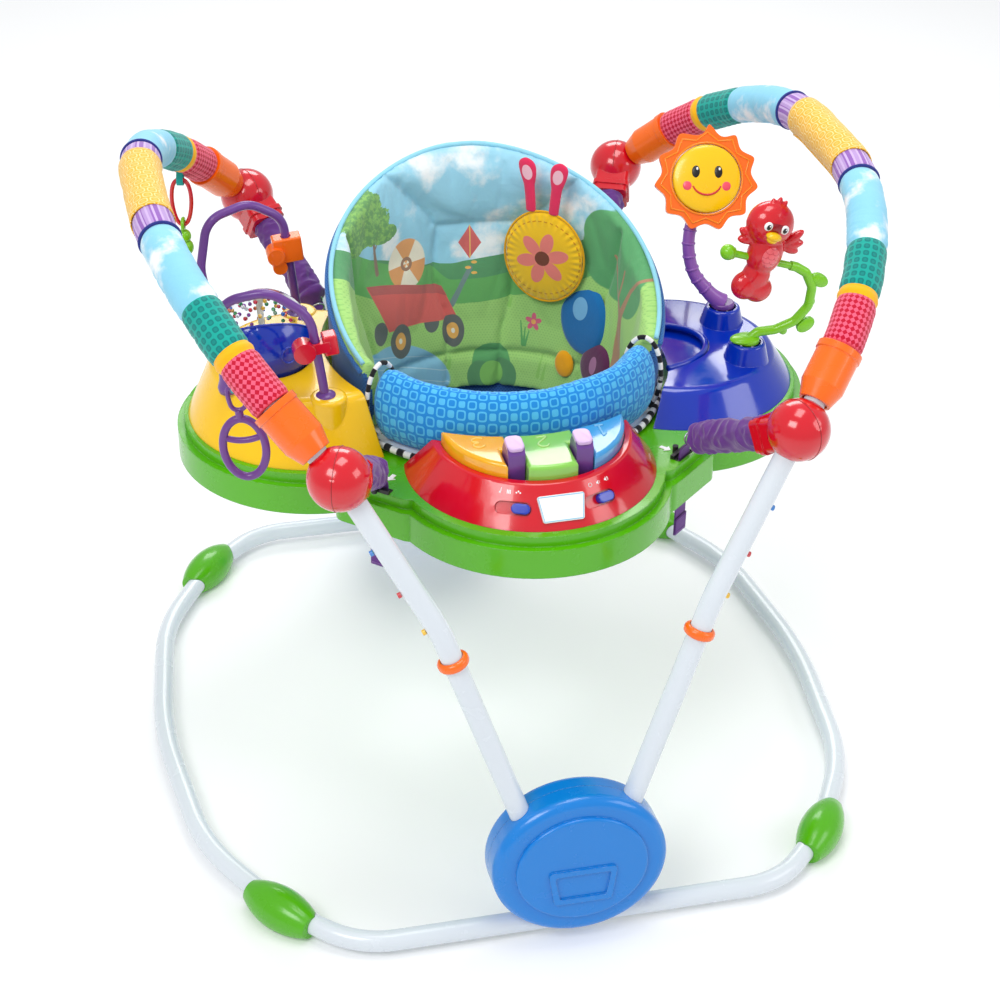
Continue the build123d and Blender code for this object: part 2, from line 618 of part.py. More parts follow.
def bead_sliders():
    start, end = Vector(*BEAD_FRONT[0]), Vector(*BEAD_FRONT[1])
    axis = (end - start).normalized()
    mid = start + axis * 93.0
    lie = Plane(origin=mid, x_dir=(1, 0, 0.13), z_dir=axis)
    big = Pos(-15, -4, 0) * (Rot(90, 0, 0) * Cylinder(13.0, 20))
    small = Pos(17, 2, 0) * Box(17, 20, 25)
    web = Box(32, 18, 13)
    bone = lie * (big + fillet(small.edges(), 2.5) + web)
    bone -= rod_between(tuple(mid - axis * 30), tuple(mid + axis * 30), BEAD_WIRE_R + 0.7)
    add("slider_red", bone)

    start, end = Vector(*BEAD_REAR[0]), Vector(*BEAD_REAR[1])
    axis = (end - start).normalized()
    mid = start + axis * 119.0
    lie = Plane(origin=mid, x_dir=(1, 0, 0.1), z_dir=axis)
    box = fillet(Box(36, 20, 33).edges(), 2.5)
    knob = Pos(-16, -4, -4) * (Rot(90, 0, 0) * Cylinder(11.0, 20))
    drop = Pos(-13, -4, -21) * (Rot(90, 0, 0) * Cylinder(9.0, 14))
    clip = lie * (box + knob + drop)
    clip -= rod_between(tuple(mid - axis * 40), tuple(mid + axis * 40), BEAD_WIRE_R + 0.7)
    add("slider_orange", clip)


# ---------------------------------------------------------------- sun station
def sun_station():
    body = station_blank(1, STATION_R, 124.0, SUN_TOP_Z, 14.0)
    hollow = Pos(STATION_X, 0, DECK_Z - 1) * Cone(STATION_R - WALL, 116.0, SUN_TOP_Z - DECK_Z - 11,
                                                  align=SITS)
    hollow -= disc(0, 0, SEAT_CLEAR_R + WALL, DECK_Z - 2, SUN_TOP_Z)
    body -= hollow
    for x, y in (SUN_POST, VINE_POST):
        post = Pos(x, y, SUN_TOP_Z - 8) * Cone(30, 22, POST_TOP_Z - SUN_TOP_Z + 8,
                                               align=SITS)
        body += fillet(post.edges().group_by(Axis.Z)[-1], 3.5)
    for x, y in (SUN_POST, VINE_POST):
        body -= disc(x, y, 17.5, POST_TOP_Z - 8, POST_TOP_Z + 1)
    dish = Pos(222, -2, SUN_TOP_Z + 20) * Sphere(62)
    dish &= disc(222, -2, 55, SUN_TOP_Z - 7, SUN_TOP_Z + 5)
    body -= dish
    body -= disc(0, 0, SEAT_CLEAR_R, DECK_Z - 1, POST_TOP_Z + 9)
    add("sun_station", body)


def stalk_root(x, y):
    """Lens shaped foot of a toy stalk, sitting in its post socket."""
    foot = disc(x, y, 6.0, POST_TOP_Z - 7, POST_TOP_Z + 2)
    lens = Pos(x, y, POST_TOP_Z + 3) * Cylinder(15.0, 6.0)
    return foot + fillet(lens.edges().group_by(Axis.Z)[-1], 2.4)


SUN_HEAD = (287.0, 75.0, 718.5)
SUN_FACING = (-0.2, -0.854, 0.48)
SUN_STALK = ((310, 42, 556), (300, 43, 566), (287, 46, 577), (270, 51, 601), (263, 57, 632),
             (267, 66, 659), (280, 80, 684), (289, 89, 712))


def sun_toy():
    stalk = stalk_root(*SUN_POST) + bent_rod(SUN_STALK, [8, 14, 16, 20, 20, 18], 7.0)
    knob = Plane(origin=SUN_HEAD, z_dir=SUN_FACING) * (Pos(0, 0, -15) * Cylinder(13.0, 14))
    head = Plane(origin=SUN_HEAD, x_dir=(0.973, -0.23, 0), z_dir=SUN_FACING)
    points = 11
    petal_r, valley_r = 65.0, 56.5
    rim = []
    for i in range(2 * points):
        r = petal_r if i % 2 == 0 else valley_r
        a = math.pi * i / points + math.pi / 2
        rim.append((r * math.cos(a), r * math.sin(a)))
    star = make_face(Spline(*rim, periodic=True))
    ring = Pos(0, 0, -6) * extrude(star - Circle(43.6), amount=11.0)
    face = Pos(0, 0, -7.6) * Cylinder(43.0, 15.0, align=SITS)
    face = fillet(face.edges().group_by(Axis.Z)[-1], 4.0)
    clear = Pos(0, 0, -7.8) * Cylinder(70.0, 30.0, align=SITS)
    add("sun_stalk", (stalk + knob) - head * clear)
    add("sun_ring", head * ring)
    add("sun_face", head * face)


BAR_MID = (314.0, -75.0, 675.0)
BAR_DIR = (0.954, 0.0, -0.299)
BAR_R = 4.5
VINE = ((310, -57, 556), (322, -58, 567), (343, -62, 570), (366, -67, 582), (381, -71, 604),
        (382, -74, 631), (372, -75, 652))


def bar_point(t):
    return Vector(*BAR_MID) + Vector(*BAR_DIR) * t


def vine_toy():
    arm_end = bar_point(46)
    vine = stalk_root(*VINE_POST) + bent_rod(VINE + (tuple(arm_end), tuple(bar_point(38))),
                                             [8, 14, 16, 18, 18, 9, 4], 6.0)
    vine += rod_between(tuple(bar_point(-40)), tuple(bar_point(42)), BAR_R)
    vine += rod_between(tuple(bar_point(-49)), tuple(bar_point(-40)), 7.5)
    for at, tilt in (((390, -74, 640), 30), ((380, -69, 577), -35)):
        leaf = extrude(Plane.XZ * Ellipse(12, 8), amount=3.2, both=True)
        vine += Pos(*at) * Rot(0, tilt, 0) * leaf
    add("vine_stalk", vine)


def bird():
    """Rattle bird that turns on the vine's bar."""
    lie = Plane(origin=BAR_MID, x_dir=BAR_DIR, z_dir=(0, -1, 0))
    head = Pos(-9, 47, 0) * (Sphere(29.0) & Box(80, 80, 44))
    head -= Pos(-9, 47, 0) * (Sphere(26.4) & Box(80, 80, 38))
    body = extrude(Pos(-1, 4) * Ellipse(23, 30), amount=17.0, both=True)
    tail = extrude(make_face(Polyline((-14, -6), (12, -6), (35, -38), (20, -50), (0, -55),
                                      (-24, -45), (-33, -31), close=True)), amount=15.0, both=True)
    wings = extrude(make_face(Polyline((-50, 42), (-30, 20), (-18, 8), (18, 8), (30, 20),
                                       (36, 38), (26, 34), (0, 18), (-30, 36), close=True)),
                    amount=7.0, both=True)
    beak = Pos(-8, 38, 20) * Cone(7, 2, 13, align=SITS)
    toy = lie * (head + body + tail + wings + beak)
    toy -= rod_between(tuple(bar_point(-39.5)), tuple(bar_point(60)), BAR_R + 0.06)
    toy -= rod_between(tuple(bar_point(-60)), tuple(bar_point(-39.4)), 8.5)
    toy -= rod_between(tuple(bar_point(37)), tuple(bar_point(60)), 8.5)
    add("bird", toy)


# ---------------------------------------------------------------- hanging toys
def flat_toy_plane(sx, sy, tilt_deg):
    """Plane of a hanging toy: origin in its fabric loop, X sideways, Y up."""
    base = Plane(origin=hang_point(sx, sy), x_dir=TOY_SIDEWAYS, z_dir=(-0.243, -0.97, 0))
    return base.location * Rot(0, 0, tilt_deg)


def oval_link(half_w, height, wire_r, bottom_w):
    """Ring with a straight bar at the top, where it hangs."""
    pts = [(-half_w, 0), (half_w, 0), (bottom_w, -height * 0.45), (half_w * 0.8, -height),
           (-half_w * 0.8, -height), (-bottom_w, -height * 0.45)]
    face = make_face(Polyline(*pts, close=True))
    outer = offset(face, amount=wire_r, kind=Kind.ARC)
    inner = offset(face, amount=-wire_r, kind=Kind.ARC)
    return extrude(outer - inner, amount=wire_r * 0.85, both=True)


def hanging_toys():
    teether = oval_link(9.0, 26.0, 2.6, 10.0)
    body = offset(make_face(Polyline((-8, -33), (8, -33), (25, -62), (20, -100), (0, -114), (-20, -100),
                                     (-25, -62), close=True)), amount=4.5, kind=Kind.ARC)
    holes = Pos(0, -84) * Ellipse(15, 22)
    slit = make_face(Polyline((-5, -43), (5, -43), (10, -54), (-10, -54), close=True))
    teether += extrude(body - holes - slit, amount=4.2, both=True)
    place = flat_toy_plane(-1, -1, 5.0)
    add("teether", place * teether)

    place = flat_toy_plane(-1, 1, 0.0)
    add("link_red", place * oval_link(9.0, 62.0, 2.8, 14.0))
    pod = Pos(0, -62, 0) * Rot(0, 90, 0) * Torus(7.4, 2.3)
    pod += Pos(0, -79, 0) * Sphere(9.5)
    pod += Pos(0, -95, 0) * Sphere(12.0)
    pod += Pos(0, -112, 0) * Sphere(10.0)
    add("pod_green", place * pod)
    add("link_yellow", flat_toy_plane(1, 1, 8.0) * oval_link(9.0, 115.0, 2.8, 17.0))
    add("loop_green", flat_toy_plane(1, -1, -14.0) * oval_link(8.0, 62.0, 2.2, 12.0))


# ---------------------------------------------------------------- build and write
base_rails()
floor_feet()
legs()
leg_collars()
leg_pegs()
hubs()
arches()
corner_balls()
springs()
tray()
seat()
piano()
keys()
bead_station()
globe()
bead_sliders()
sun_station()
sun_toy()
vine_toy()
bird()
hanging_toys()

os.makedirs("parts", exist_ok=True)
for node, pieces in nodes.items():
    solids = []
    for piece in pieces:
        solids.extend(piece.solids())
    shape = solids[0] if len(solids) == 1 else Compound(children=solids)
    export_step(shape, os.path.join("parts", node + ".step"))
print(len(nodes), "nodes")
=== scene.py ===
"""Looks of the activity jumper: fabric, plastic finishes, small trim, floor, lights and camera."""
import math

import bmesh
import bpy
import numpy as np
from mathutils import Matrix, Vector, noise


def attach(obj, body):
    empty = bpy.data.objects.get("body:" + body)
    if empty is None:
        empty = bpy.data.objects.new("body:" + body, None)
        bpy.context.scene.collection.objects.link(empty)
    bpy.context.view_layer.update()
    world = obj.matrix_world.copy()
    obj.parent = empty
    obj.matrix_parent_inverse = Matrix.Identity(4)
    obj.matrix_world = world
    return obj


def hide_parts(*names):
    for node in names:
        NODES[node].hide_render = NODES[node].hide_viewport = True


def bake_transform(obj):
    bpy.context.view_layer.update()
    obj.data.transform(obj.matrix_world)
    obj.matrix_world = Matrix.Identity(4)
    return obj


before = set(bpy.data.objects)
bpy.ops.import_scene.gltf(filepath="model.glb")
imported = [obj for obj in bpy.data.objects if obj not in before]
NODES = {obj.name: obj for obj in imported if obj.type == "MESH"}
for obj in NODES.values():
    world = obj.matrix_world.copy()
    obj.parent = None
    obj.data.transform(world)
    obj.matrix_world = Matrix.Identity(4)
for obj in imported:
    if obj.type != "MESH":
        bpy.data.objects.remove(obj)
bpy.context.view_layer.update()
TAU = 2 * math.pi


# ---------------------------------------------------------------- node materials
class Wire:
    """An output in a node tree, used in plain formulas."""

    def __init__(self, tree, socket):
        self.tree = tree
        self.socket = socket

    def __add__(self, other):
        return self.tree.math("ADD", self, other)

    def __radd__(self, other):
        return self.tree.math("ADD", other, self)

    def __sub__(self, other):
        return self.tree.math("SUBTRACT", self, other)

    def __rsub__(self, other):
        return self.tree.math("SUBTRACT", other, self)

    def __mul__(self, other):
        return self.tree.math("MULTIPLY", self, other)

    def __truediv__(self, number):
        return self.tree.math("MULTIPLY", self, 1 / number)

    def __pow__(self, number):
        return self.tree.math("POWER", self, number)

    def __abs__(self):
        return self.tree.math("ABSOLUTE", self)


class Tree:
    """A material's node tree, with short calls for the nodes used here."""

    def __init__(self, name):
        self.mat = bpy.data.materials.new(name)
        self.mat.use_nodes = True
        self.nt = self.mat.node_tree
        self.bsdf = self.nt.nodes["Principled BSDF"]
        self.coord = self.nt.nodes.new("ShaderNodeTexCoord")

    def put(self, socket, value):
        if isinstance(value, Wire):
            self.nt.links.new(value.socket, socket)
        elif value is not None:
            if socket.type == "RGBA" and len(value) == 3:
                value = (*value, 1.0)
            socket.default_value = value

    def set(self, name, value):
        """Gives one of the material's own inputs a value or a wire."""
        self.put(self.bsdf.inputs[name], value)

    def made(self, kind, out, inputs, **props):
        """One output of a new node, whose inputs are given by number or name."""
        node = self.nt.nodes.new(kind)
        for key, value in props.items():
            setattr(node, key, value)
        for key, value in inputs.items():
            self.put(node.inputs[key], value)
        return Wire(self, node.outputs[out])

    def math(self, op, *values):
        return self.made("ShaderNodeMath", 0, dict(enumerate(values)), operation=op)

    def step(self, value, low, high):
        """0 below low and 1 above high, smooth between."""
        ends = {0: value, 1: low, 2: high, 3: 0.0, 4: 1.0}
        return self.made("ShaderNodeMapRange", 0, ends, interpolation_type="SMOOTHSTEP")

    def mix(self, share, a, b, blend="MIX"):
        return self.made("ShaderNodeMix", 2, {0: share, 6: a, 7: b}, data_type="RGBA", blend_type=blend)

    def place(self):
        """Object coordinates: the row frame, in metres."""
        return Wire(self, self.coord.outputs["Object"])

    def split(self, vector):
        node = self.nt.nodes.new("ShaderNodeSeparateXYZ")
        self.put(node.inputs[0], vector)
        return [Wire(self, out) for out in node.outputs]

    def uv(self):
        return self.split(Wire(self, self.coord.outputs["UV"]))[:2]

    def join(self, x, y, z=0.0):
        return self.made("ShaderNodeCombineXYZ", 0, {0: x, 1: y, 2: z})

    def noise(self, scale, detail=3.0, rough=0.5, vector=None, warp=0.0):
        inputs = {"Vector": vector or self.place(), "Scale": scale, "Detail": detail, "Roughness": rough,
                  "Distortion": warp}
        return self.made("ShaderNodeTexNoise", "Fac", inputs)

    def bump(self, height, distance, strength=1.0, normal=None):
        inputs = {"Strength": strength, "Distance": distance, "Height": height, "Normal": normal}
        return self.made("ShaderNodeBump", "Normal", inputs)

    def root(self, value):
        return self.math("SQRT", value)

    def fract(self, value):
        return self.math("FRACT", value)

    def ellipse(self, x, y, cx, cy, rx, ry, turn=0.0):
        """1 inside an ellipse, 0 outside."""
        dx, dy = x - cx, y - cy
        if turn:
            c, s = math.cos(turn), math.sin(turn)
            dx, dy = dx * c + dy * s, dy * c - dx * s
        return self.step((dx / rx) ** 2.0 + (dy / ry) ** 2.0, 1.05, 0.95)

    def ring(self, x, y, cx, cy, r, width):
        dx, dy = x - cx, y - cy
        return self.step(abs(self.root(dx * dx + dy * dy) - r), width * 0.5, width * 0.4)

    def above(self, value, soft=0.0003):
        """1 where a value is above zero, with a soft edge."""
        return self.step(value, -soft, soft)

    def stroke(self, x, y, start, end, w0, w1):
        """1 on a straight stroke from one point to another, w0 and w1 wide at its ends."""
        length = math.dist(start, end)
        c, s = (end[0] - start[0]) / length, (end[1] - start[1]) / length
        dx, dy = x - start[0], y - start[1]
        along = dx * c + dy * s
        kept = self.math("MINIMUM", self.math("MAXIMUM", along, 0.0), length)
        across = abs(dy * c - dx * s)
        beyond = abs(along - kept)
        half = kept * ((w1 - w0) / (2 * length)) + w0 / 2
        return self.above(half - self.root(across * across + beyond * beyond))

    def polygon(self, x, y, corners):
        """1 inside a convex polygon whose corners run anticlockwise."""
        inside = None
        for (x0, y0), (x1, y1) in zip(corners, corners[1:] + corners[:1]):
            nx, ny = y0 - y1, x1 - x0
            size = math.hypot(nx, ny)
            side = (x - x0) * (nx / size) + (y - y0) * (ny / size)
            inside = side if inside is None else self.math("MINIMUM", inside, side)
        return self.above(inside)


def shade(rgb, k):
    return tuple(min(1.0, max(0.0, c * k)) for c in rgb)


def srgb(r, g, b):
    """Linear colour from 0..255 display values."""
    return tuple((c / 255 / 12.92) if c <= 10 else ((c / 255 + 0.055) / 1.055) ** 2.4 for c in (r, g, b))


def plastic(name, rgb, rough=0.22, coat=0.35, bevel=0.0012, glow=0.0):
    """Moulded plastic: slight flow marks, soft edges painted paler and rougher (the paler colour partly wear,
    partly painted highlight), faint smudges.
    """
    t = Tree(name)
    base = t.mix(t.noise(9.0, 2.0, 0.5, warp=0.4), shade(rgb, 0.96), shade(rgb, 1.04))
    rounded = t.made("ShaderNodeBevel", 0, {"Radius": bevel}, samples=4)
    flat = t.made("ShaderNodeNewGeometry", "Normal", {})
    agree = t.made("ShaderNodeVectorMath", "Value", {0: rounded, 1: flat}, operation="DOT_PRODUCT")
    # Soft edges: rougher from wear, and up to 14% paler, which is partly wear and partly painted highlight.
    worn = t.step(1.0 - agree, 0.02, 0.30) * t.step(t.noise(160.0, 2.0), 0.42, 0.62)
    t.set("Base Color", t.mix(worn * 0.5, base, tuple(c + (1 - c) * 0.28 for c in rgb)))
    smudge = t.step(t.noise(28.0, 4.0, 0.62), 0.45, 0.75)
    t.set("Roughness", smudge * 0.09 + worn * 0.12 + rough)
    t.set("Normal", t.bump(t.noise(700.0, 2.0, 0.6), 0.00004, 0.6, rounded))
    t.set("Coat Weight", coat)
    t.set("Coat Roughness", 0.06)
    t.set("IOR", 1.5)
    if glow:
        t.set("Subsurface Weight", glow)
        t.set("Subsurface Radius", (0.01, 0.008, 0.006))
        t.set("Subsurface Scale", 0.6)
    return t.mat


def powder_coat(name, rgb):
    t = Tree(name)
    t.set("Base Color", t.mix(t.noise(6.0, 3.0), shade(rgb, 0.97), shade(rgb, 1.02)))
    t.set("Roughness", t.noise(40.0, 4.0) * 0.12 + 0.20)
    t.set("Normal", t.bump(t.noise(900.0, 3.0, 0.6), 0.00006, 0.7))
    t.set("Coat Weight", 0.25)
    t.set("Coat Roughness", 0.12)
    return t.mat


def weave_height(t, x, y, pitch):
    """Over-and-under height of a plain weave, 0..1."""
    a = t.math("SINE", x * (math.pi / pitch))
    b = t.math("SINE", y * (math.pi / pitch))
    return a * b * 0.5 + 0.5


def cloth_finish(t, base, x, y, pitch=0.0007, depth=0.00012, sheen=0.25, folds=0.0009):
    """Sets a cotton print's colour with its weave (raised threads paler, painted shade between them), fuzz
    and slight creases.
    """
    threads = weave_height(t, x, y, pitch)
    fuzz = t.noise(900.0, 3.0, 0.7)
    # Raised threads are up to 8% paler than the low spots between them: painted shade in the weave.
    tone = fuzz * 0.12 + (threads * 0.08 + 0.88)
    worn = t.noise(14.0, 4.0, 0.6)
    tone = tone * (worn * 0.10 + 0.96)
    grey = t.join(tone, tone, tone)
    t.set("Base Color", t.mix(1.0, base, grey, "MULTIPLY"))
    t.set("Roughness", 0.85)
    t.set("Sheen Weight", sheen)
    t.set("Sheen Roughness", 0.5)
    t.set("Specular IOR Level", 0.25)
    crease = t.bump(t.noise(22.0, 4.0, 0.6, warp=1.2), folds, 0.8)
    fine = t.bump(t.noise(95.0, 3.0, 0.6, warp=0.6), 0.0004, 0.5, crease)
    t.set("Normal", t.bump(threads + fuzz * 0.6, depth, 0.9, fine))
    return t.mat


def plain_cloth(name, rgb, pitch=0.0008, **kw):
    t = Tree(name)
    u, v = t.uv()
    soft = t.mix(t.noise(60.0, 4.0, 0.6), shade(rgb, 0.90), shade(rgb, 1.08))
    return cloth_finish(t, soft, u, v, pitch, **kw)


WHITE = srgb(250, 250, 250)
GREEN = srgb(84, 178, 0)
BLUE = srgb(0, 126, 214)
ROYAL = srgb(0, 46, 176)
RED = srgb(212, 4, 30)
ORANGE = srgb(255, 108, 0)
YELLOW = srgb(255, 200, 0)
PURPLE = srgb(106, 60, 142)
LILAC = srgb(214, 180, 226)

MAT = {
    "white": powder_coat("white_powder_coat", srgb(222, 229, 236)),
    "green": plastic("green_moulding", GREEN, 0.24, 0.2, bevel=0.0022),
    "blue": plastic("bright_blue_moulding", BLUE, 0.22, 0.25, bevel=0.0018),
    "royal": plastic("royal_blue_moulding", ROYAL, 0.12, 0.5, bevel=0.0016),
    "red": plastic("red_moulding", RED, 0.16, 0.6),
    "orange": plastic("orange_moulding", ORANGE, 0.26, 0.3),
    "yellow": plastic("yellow_moulding", YELLOW, 0.22, 0.25, bevel=0.0022),
    "purple": plastic("purple_moulding", PURPLE, 0.30, 0.2),
    "lilac": plastic("lilac_moulding", LILAC, 0.3, 0.2),
    "white_plastic": plastic("white_moulding", WHITE, 0.3, 0.2),
    "black": plastic("black_moulding", srgb(22, 22, 24), 0.45, 0.1),
    "teether": plastic("soft_purple", srgb(108, 58, 140), 0.34, 0.2, glow=0.15),
    "leaf": plastic("vine_green", srgb(124, 200, 10), 0.26, 0.3),
    "bird_red": plastic("bird_red", srgb(214, 12, 30), 0.18, 0.5),
    "bird_chest": plastic("bird_chest", srgb(240, 92, 104), 0.25, 0.4),
    "cheek": plastic("cheek_pink", srgb(244, 80, 104), 0.3, 0.2),
    "key_orange": plastic("key_orange", srgb(255, 178, 20), 0.16, 0.6, glow=0.35),
    "key_green": plastic("key_green", srgb(140, 206, 84), 0.16, 0.6, glow=0.35),
    "key_blue": plastic("key_blue", srgb(66, 160, 220), 0.16, 0.6, glow=0.35),
    "icon": plastic("printed_white", WHITE, 0.5, 0.0, bevel=0.0002),
    "trim_blue": plastic("pale_blue_trim", srgb(150, 205, 235), 0.4, 0.1),
    "board": plastic("board_green", srgb(20, 90, 40), 0.4, 0.1),
}


def steel(name):
    t = Tree(name)
    t.set("Metallic", 1.0)
    t.set("Base Color", t.mix(t.noise(120.0, 3.0), (0.50, 0.51, 0.53), (0.66, 0.67, 0.69)))
    t.set("Roughness", t.noise(300.0, 3.0) * 0.2 + 0.22)
    t.set("Normal", t.bump(t.noise(800.0, 2.0), 0.00005, 0.5))
    return t.mat


MAT["steel"] = steel("plated_steel")


def clear_plastic(name):
    t = Tree(name)
    t.set("Base Color", (0.96, 0.98, 1.0, 1.0))
    t.set("Transmission Weight", 1.0)
    t.set("IOR", 1.25)
    t.set("Roughness", t.step(t.noise(30.0, 4.0, 0.6), 0.5, 0.8) * 0.08)
    t.set("Normal", t.bump(t.noise(60.0, 2.0), 0.0002, 0.25))
    return t.mat


MAT["clear"] = clear_plastic("clear_moulding")


def peg_plastic():
    """The pegs are blue, red and yellow from the top down."""
    t = Tree("peg_colours")
    z = t.split(t.place())[2]
    low = t.mix(t.step(z, 0.458, 0.460), YELLOW, RED)
    base = t.mix(t.step(z, 0.506, 0.508), low, BLUE)
    t.set("Base Color", t.mix(t.noise(300.0) * 0.15, base, WHITE))
    t.set("Roughness", t.noise(200.0) * 0.1 + 0.25)
    t.set("Normal", t.bump(t.noise(700.0), 0.00004, 0.5))
    return t.mat


MAT["pegs"] = peg_plastic()


# ---------------------------------------------------------------- mesh helpers
def quads(rows, around, start=0, closed=False):
    """Faces of a grid of vertices whose rows are rings; closed joins the last ring to the first."""
    return [(start + i * around + j, start + i * around + (j + 1) % around,
             start + (i + 1) % rows * around + (j + 1) % around, start + (i + 1) % rows * around + j)
            for i in range(rows if closed else rows - 1) for j in range(around)]


def end_caps(rows, around, start=0):
    first = tuple(range(start, start + around))
    return [first[::-1], tuple(v + (rows - 1) * around for v in first)]


def inside_out(faces):
    """The same faces wound the other way from the same corner."""
    return [f[:1] + f[:0:-1] for f in faces]


def read_all(items, what, width, kind=np.float32):
    """One property of every vertex, face or face corner."""
    out = np.zeros(len(items) * width, kind)
    items.foreach_get(what, out)
    return out.reshape(-1, width) if width > 1 else out


def linked(name, mesh):
    piece = bpy.data.objects.new(name, mesh)
    bpy.context.scene.collection.objects.link(piece)
    return piece


def mesh_piece(name, verts, faces, mats, body, uvs=None, face_mats=None):
    """A new mesh in the row frame that rides on a body. uvs is one pair per vertex."""
    mesh = bpy.data.meshes.new(name)
    mesh.from_pydata([tuple(v) for v in verts], [], [tuple(int(i) for i in f) for f in faces])
    for m in mats if isinstance(mats, list) else [mats]:
        mesh.materials.append(m)
    if face_mats is not None:
        mesh.polygons.foreach_set("material_index", np.array(face_mats, np.int32))
    piece = linked(name, mesh)
    smooth_all(piece)
    if uvs is not None:
        set_uv(piece, np.array(uvs, float))
    mesh.update()
    if body:
        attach(piece, body)
    return piece


def set_uv(piece, uv_of_vertex):
    layers = piece.data.uv_layers
    layer = layers[0] if layers else layers.new(name="UVMap")
    index = read_all(piece.data.loops, "vertex_index", 1, np.int32)
    layer.data.foreach_set("uv", uv_of_vertex[index].astype(np.float32).ravel())


def coords(piece):
    return read_all(piece.data.vertices, "co", 3).astype(float)


def set_coords(piece, co):
    piece.data.vertices.foreach_set("co", co.astype(np.float32).ravel())
    piece.data.update()


def modify(piece, kind, **props):
    """Adds a modifier and applies it at once."""
    mod = piece.modifiers.new(kind, kind)
    for key, value in props.items():
        setattr(mod, key, value)
    graph = bpy.context.evaluated_depsgraph_get()
    fresh = bpy.data.meshes.new_from_object(piece.evaluated_get(graph))
    old = piece.data
    piece.modifiers.clear()
    piece.data = fresh
    bpy.data.meshes.remove(old)
    return piece


def smooth_all(piece):
    piece.data.polygons.foreach_set("use_smooth", [True] * len(piece.data.polygons))


def wobble(points, scale, seed=0.0):
    """Smooth noise of -1..1 at each point."""
    shift = Vector((seed * 3.1, seed * 1.7, seed * 2.3))
    return np.array([noise.noise(Vector(p) * scale + shift) for p in points])


def grid_wobble(grid, stretch, seed):
    """Smooth noise over a grid of points."""
    return wobble((grid * stretch).reshape(-1, 3), 1.0, seed).reshape(grid.shape[:2])


def unit(rows):
    return rows / np.linalg.norm(rows, axis=1)[:, None]


def run_along(path):
    """Distance of each point from the start of its path."""
    return np.concatenate([[0], np.cumsum(np.linalg.norm(np.diff(path, axis=0), axis=1))])


def frames_along(path):
    """Tangent, side and up at each point of a path, without twist."""
    tangent = unit(np.gradient(np.array(path, float), axis=0))
    side = np.cross(tangent[0], (0.0, 0.0, 1.0))
    if np.linalg.norm(side) < 1e-6:
        side = np.array((1.0, 0.0, 0.0))
    sides = []
    for t in tangent:
        side = side - t * np.dot(side, t)
        side /= np.linalg.norm(side)
        sides.append(side.copy())
    sides = np.array(sides)
    return tangent, sides, np.cross(sides, tangent)


def spokes(side, up, around):
    """Angles round a path, and the unit vector out from each of its points at each angle."""
    angle = np.arange(around) * TAU / around
    ring = side[:, None, :] * np.cos(angle)[None, :, None] + up[:, None, :] * np.sin(angle)[None, :, None]
    return angle, ring


def grid_uv(across, along):
    return np.stack([np.tile(across, len(along)), np.repeat(along, len(across))], 1)


def tube(path, radius, around=24):
    """Vertices, faces and UVs in metres of a tube; radius is a number, a list or an n x around grid."""
    path = np.array(path, float)
    n = len(path)
    radius = np.array(radius, float)
    if radius.ndim < 2:
        radius = np.repeat(np.broadcast_to(radius.reshape(-1, 1), (n, 1)), around, 1)
    _, side, up = frames_along(path)
    angle, ring = spokes(side, up, around)
    verts = (path[:, None, :] + ring * radius[:, :, None]).reshape(-1, 3)
    return verts, quads(n, around) + end_caps(n, around), grid_uv(angle * radius.mean(), run_along(path))


def tube_piece(name, path, radius, mat, body, around=24):
    verts, faces, uv = tube(path, radius, around)
    return mesh_piece(name, verts, faces, mat, body, uv)


def smooth_path(points, steps=12, closed=False):
    """Catmull-Rom curve through the points."""
    pts = [np.array(p, float) for p in points]
    if closed:
        ext = [pts[-1]] + pts + pts[:2]
    else:
        ext = [2 * pts[0] - pts[1]] + pts + [2 * pts[-1] - pts[-2]]
    out = []
    for i in range(1, len(ext) - 2):
        a, b, c, d = ext[i - 1:i + 3]
        for k in range(steps):
            t = k / steps
            out.append(0.5 * (2 * b + (c - a) * t + (2 * a - 5 * b + 4 * c - d) * t * t
                              + (3 * b - a - 3 * c + d) * t ** 3))
    if not closed:
        out.append(pts[-1])
    return np.array(out)


def loop_piece(name, path, radius, mat, body, around=12):
    """Tube round a closed path."""
    path = np.array(path, float)
    tangent = unit(np.roll(path, -1, 0) - np.roll(path, 1, 0))
    normal = np.cross(tangent, path - path.mean(0)).mean(0)
    normal /= np.linalg.norm(normal)
    side = unit(np.cross(tangent, normal))
    angle, ring = spokes(side, np.cross(side, tangent), around)
    verts = (path[:, None, :] + ring * radius).reshape(-1, 3)
    uv = grid_uv(angle * radius, run_along(path))
    return mesh_piece(name, verts, quads(len(path), around, closed=True), mat, body, uv)


def full_turn(count):
    return np.linspace(0, TAU, count, endpoint=False)


def ring_line(at, rx, count, ry=None, z=0.0):
    """Points evenly round an ellipse in a frame's own XY plane."""
    return [at @ Vector((rx * math.cos(a), (ry or rx) * math.sin(a), z)) for a in full_turn(count)]


def along_sides(corners, per_side):
    """Points evenly along the sides of a closed polygon."""
    return [p.lerp(q, k / per_side) for p, q in zip(corners, corners[1:] + corners[:1])
            for k in range(per_side)]


def from_axis(r, degrees, z):
    """Point at a distance and an angle from the row frame's Z axis."""
    a = math.radians(degrees)
    return (r * math.cos(a), r * math.sin(a), z)


def basis(origin, normal, across):
    """4x4 matrix whose Z is the normal and whose X is as near to across as it can be."""
    z = Vector(normal).normalized()
    x = Vector(across)
    x = (x - z * x.dot(z)).normalized()
    m = Matrix((x, z.cross(x), z)).transposed().to_4x4()
    m.translation = Vector(origin)
    return m


